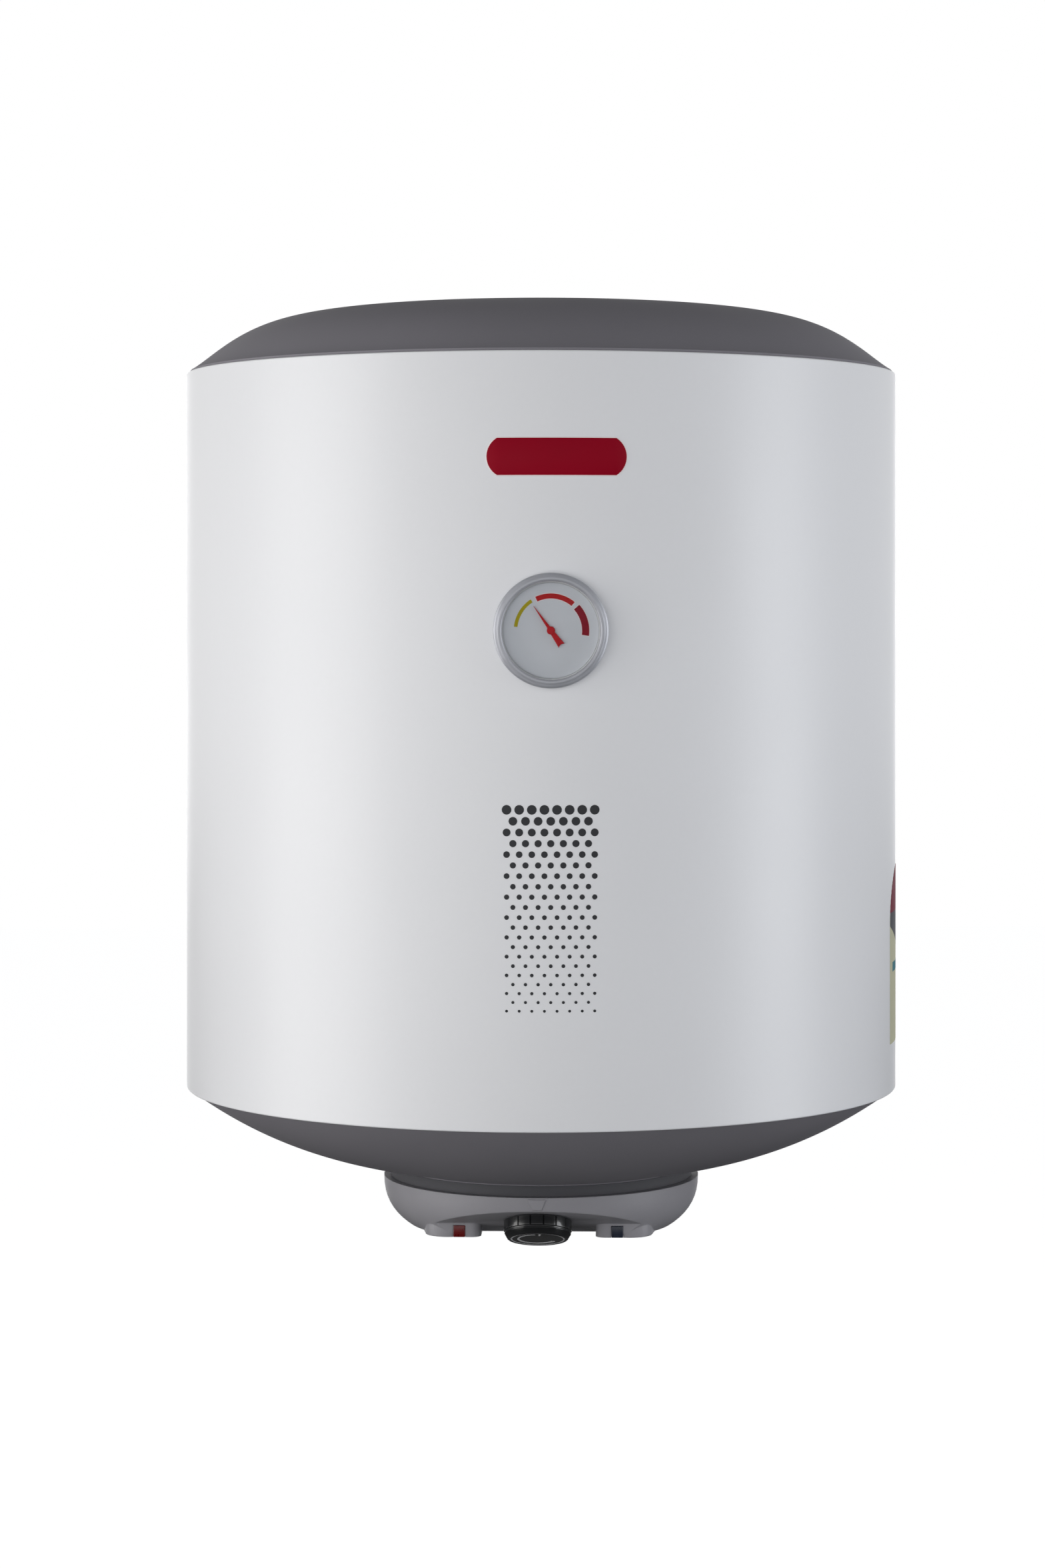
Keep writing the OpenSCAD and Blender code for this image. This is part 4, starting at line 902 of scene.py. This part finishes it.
class HEATER_OT_pipes(bpy.types.Operator):
    """Turn the two water pipes with their cut threads, and their coloured collars"""
    bl_idname = "heater.pipes"
    bl_label = "Pipes"

    def execute(self, context):
        sizes = context.scene.heater_pipes
        spacing, back, seat, reach = mm(sizes, "spacing", "back", "seat", "reach")
        crest, pitch, bore, collar = mm(sizes, "thread", "pitch", "bore", "collar")
        depth, run = 1.05, 11.6
        foot, root = -seat - reach, crest - depth
        for side, node, slot, ring_node in (
                (1, "cold_inlet_pipe", "collar_blue", "blue_collar"),
                (-1, "hot_outlet_pipe", "collar_red", "red_collar")):
            top = (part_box(node)[1].z - ORIGIN.z) * 1000
            pipe = lathe(rounded([
                (bore, foot, 0.5), (root, foot, 0.5), (root, foot + 13.5, 0),
                (crest + 0.2, foot + 14.6, 0.3), (crest + 0.2, top, 0.3), (bore, top, 0.3)]),
                steps=96)
            # One turn of thread is a small trapezium wound up the pipe
            thread = bmesh.new()
            outline = [(root - 0.2, -0.75), (crest - 0.05, -0.18), (crest - 0.05, 0.18),
                       (root - 0.2, 0.75)]
            verts = [thread.verts.new((r, 0, foot + 1.6 + z)) for r, z in outline]
            start = thread.faces.new(verts)
            turns, steps = int(run / pitch), 72
            bmesh.ops.spin(
                thread, geom=[start], cent=(0, 0, 0), axis=(0, 0, 1), angle=TURN * turns,
                dvec=(0, 0, pitch / steps), steps=steps * turns)
            bmesh.ops.recalc_face_normals(thread, faces=thread.faces)
            place = Matrix.Translation((side * spacing / 2, back, 0))
            skin(node + "_threaded", join(pipe, thread), "pipe_steel", stands_for=[node],
                 place=place)
            ring = lathe(rounded([
                (crest + 0.6, -seat, 0.3), (collar, -seat, 0.7), (collar, -seat - 3, 0.9),
                (crest + 0.6, -seat - 3, 0.5)][::-1]), steps=96)
            skin(ring_node + "_ring", ring, slot, stands_for=[ring_node], place=place)
        return {"FINISHED"}


class HEATER_OT_wall_side(bpy.types.Operator):
    """Ease the edges of the cable gland, the wall bracket and the bumpers"""
    bl_idname = "heater.wall_side"
    bl_label = "Gland, bracket and bumpers"

    def execute(self, context):
        for node, slot, width in (
                ("cable_gland", "black_nylon", 0.5), ("wall_bracket", "bracket_steel", 0.6),
                ("wall_bumpers", "bumper_rubber", 1.2)):
            skin(node + "_eased", softened(node, width, 3), slot, stands_for=[node])
        return {"FINISHED"}


# ---- Stage ----

class HEATER_OT_stage(bpy.types.Operator):
    """Set the camera, four softboxes, the fill and a pale floor"""
    bl_idname = "heater.stage"
    bl_label = "Stage"

    def execute(self, context):
        scene = context.scene
        scene.view_settings.view_transform = "Standard"

        # Five jacket diameters in front of the axis, a little to the left, looking level
        turn, reach, eye = math.radians(1.4), 1.9, 0.2515
        camera = bpy.data.objects.new("camera", bpy.data.cameras.new("camera"))
        camera.location = ORIGIN + Vector(
            (-reach * math.sin(turn), -reach * math.cos(turn), eye))
        camera.rotation_euler = (math.pi / 2, 0, -turn)
        camera.data.sensor_width = 36
        camera.data.lens = 80.94
        camera.data.shift_x = -0.0119
        camera.data.shift_y = -0.108
        camera.data.clip_end = 60
        scene.collection.objects.link(camera)
        scene.camera = camera

        distance = 1.7
        for name, azimuth, power, width, tall, tint in (
                ("left_softbox", -72, 16, 1.3, 1.6, (1.0, 0.985, 0.96)),
                ("right_softbox", 74, 13, 0.8, 1.6, (0.95, 0.97, 1.0)),
                ("front_softbox", -20, 9, 1.6, 0.8, (1.0, 1.0, 1.0)),
                ("back_softbox", 180, 9, 1.6, 1.2, (1.0, 1.0, 1.0))):
            lamp = bpy.data.objects.new(name, bpy.data.lights.new(name, "AREA"))
            lamp.data.shape = "RECTANGLE"
            lamp.data.size, lamp.data.size_y = width, tall
            lamp.data.energy = power
            lamp.data.color = tint
            lamp.visible_glossy = name != "front_softbox"
            around = math.radians(azimuth)
            away = Vector((math.sin(around), -math.cos(around), -0.05))
            lamp.location = AXIS + away * distance
            lamp.rotation_euler = (-away).to_track_quat("-Z", "Y").to_euler()
            scene.collection.objects.link(lamp)

        world = bpy.data.worlds.new("studio")
        tree = blank_tree(world)
        # The fill is strongest level with the heater and weak above and below it
        way = add(tree, "TexCoord").outputs["Generated"]
        slope = add(tree, "SeparateXYZ", {"Vector": way}).outputs["Z"]
        steep = add(tree, "Math", {0: slope}, operation="ABSOLUTE").outputs[0]
        level = add(tree, "MapRange", {"Value": steep, "From Max": 0.8, "To Min": 0.74,
                                       "To Max": 0.02}).outputs["Result"]
        sheen = add(tree, "Math", {0: level, 1: 0.25}, operation="ADD").outputs[0]
        fill, glossy, white = (
            add(tree, "Background", {"Color": tint, "Strength": strength}).outputs[0]
            for tint, strength in (((0.97, 0.98, 1, 1), level), ((1, 1, 1, 1), sheen),
                                   ((1, 1, 1, 1), 1.0)))
        lit = mix(tree, either(tree, "Is Glossy Ray"), fill, glossy)
        add(tree, "OutputWorld", {"Surface": mix(
            tree, either(tree, "Is Camera Ray", "Is Transmission Ray"), lit, white)})
        scene.world = world

        # A pale matt floor well below, which takes the shadow
        floor, below = bmesh.new(), 1.0
        bmesh.ops.create_grid(floor, x_segments=1, y_segments=1, size=12)
        bmesh.ops.translate(floor, verts=floor.verts, vec=(0, 0, ORIGIN.z - below))
        mesh = bpy.data.meshes.new("floor")
        floor.to_mesh(mesh)
        floor.free()
        paper = bpy.data.materials.new("white_paper")
        tree = blank_tree(paper)
        place = add(tree, "TexCoord").outputs["Object"]
        fleck = add(tree, "TexNoise", {"Vector": place, "Scale": 40.0})
        shade = add(tree, "ValToRGB", {"Fac": fleck.outputs["Fac"]})
        for stop, level in zip(shade.color_ramp.elements, (0.78, 0.82)):
            stop.color = (level, level, level, 1)
        matt = add(tree, "BsdfDiffuse", {"Color": shade.outputs["Color"]})
        glow = add(tree, "Emission", {"Color": (1, 1, 1, 1), "Strength": 0.86})
        lit = add(tree, "AddShader", {0: matt.outputs[0], 1: glow.outputs[0]})
        dim = add(tree, "BsdfDiffuse", {"Color": (0.1, 0.1, 0.1, 1)})
        both = mix(tree, either(tree, "Is Camera Ray", "Is Transmission Ray"),
                   dim.outputs[0], lit.outputs[0])
        # Seen from underneath the floor is clear
        under = add(tree, "NewGeometry").outputs["Backfacing"]
        clear = add(tree, "BsdfTransparent").outputs[0]
        add(tree, "OutputMaterial", {"Surface": mix(tree, under, both, clear)})
        mesh.materials.append(paper)
        ground = bpy.data.objects.new("floor", mesh)
        scene.collection.objects.link(ground)
        return {"FINISHED"}


# ---- Panel and registration ----

OPERATORS = (
    HEATER_OT_stage, HEATER_OT_finishes, HEATER_OT_jacket, HEATER_OT_caps, HEATER_OT_cover,
    HEATER_OT_knob, HEATER_OT_lamps, HEATER_OT_thermometer, HEATER_OT_badge,
    HEATER_OT_label, HEATER_OT_dots, HEATER_OT_pipes, HEATER_OT_wall_side)

GROUPS = {
    "heater_body": HeaterBodySizes, "heater_cover": HeaterCoverSizes,
    "heater_gauge": HeaterGaugeSizes, "heater_prints": HeaterPrintSizes,
    "heater_pipes": HeaterPipeSizes, "heater_colours": HeaterColours}


class HEATER_PT_panel(bpy.types.Panel):
    """Lists the heater's pieces, sizes and colours"""
    bl_idname = "HEATER_PT_panel"
    bl_label = "Tank Water Heater"
    bl_space_type = "VIEW_3D"
    bl_region_type = "UI"
    bl_category = "Heater"

    def draw(self, context):
        for operator in OPERATORS:
            self.layout.operator(operator.bl_idname)
        for name, group in GROUPS.items():
            box = self.layout.box()
            box.label(text=name.replace("heater_", "").capitalize())
            for prop in group.__annotations__:
                box.prop(getattr(context.scene, name), prop)


def register():
    for cls in (*GROUPS.values(), *OPERATORS, HEATER_PT_panel):
        bpy.utils.register_class(cls)
    for name, group in GROUPS.items():
        setattr(bpy.types.Scene, name, PointerProperty(type=group))


def unregister():
    for name in GROUPS:
        delattr(bpy.types.Scene, name)
    for cls in (HEATER_PT_panel, *reversed(OPERATORS), *reversed(GROUPS.values())):
        bpy.utils.unregister_class(cls)


def main():
    register()
    for operator in OPERATORS:
        group, name = operator.bl_idname.split(".")
        getattr(getattr(bpy.ops, group), name)()
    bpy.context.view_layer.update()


if __name__ == "__main__":
    main()
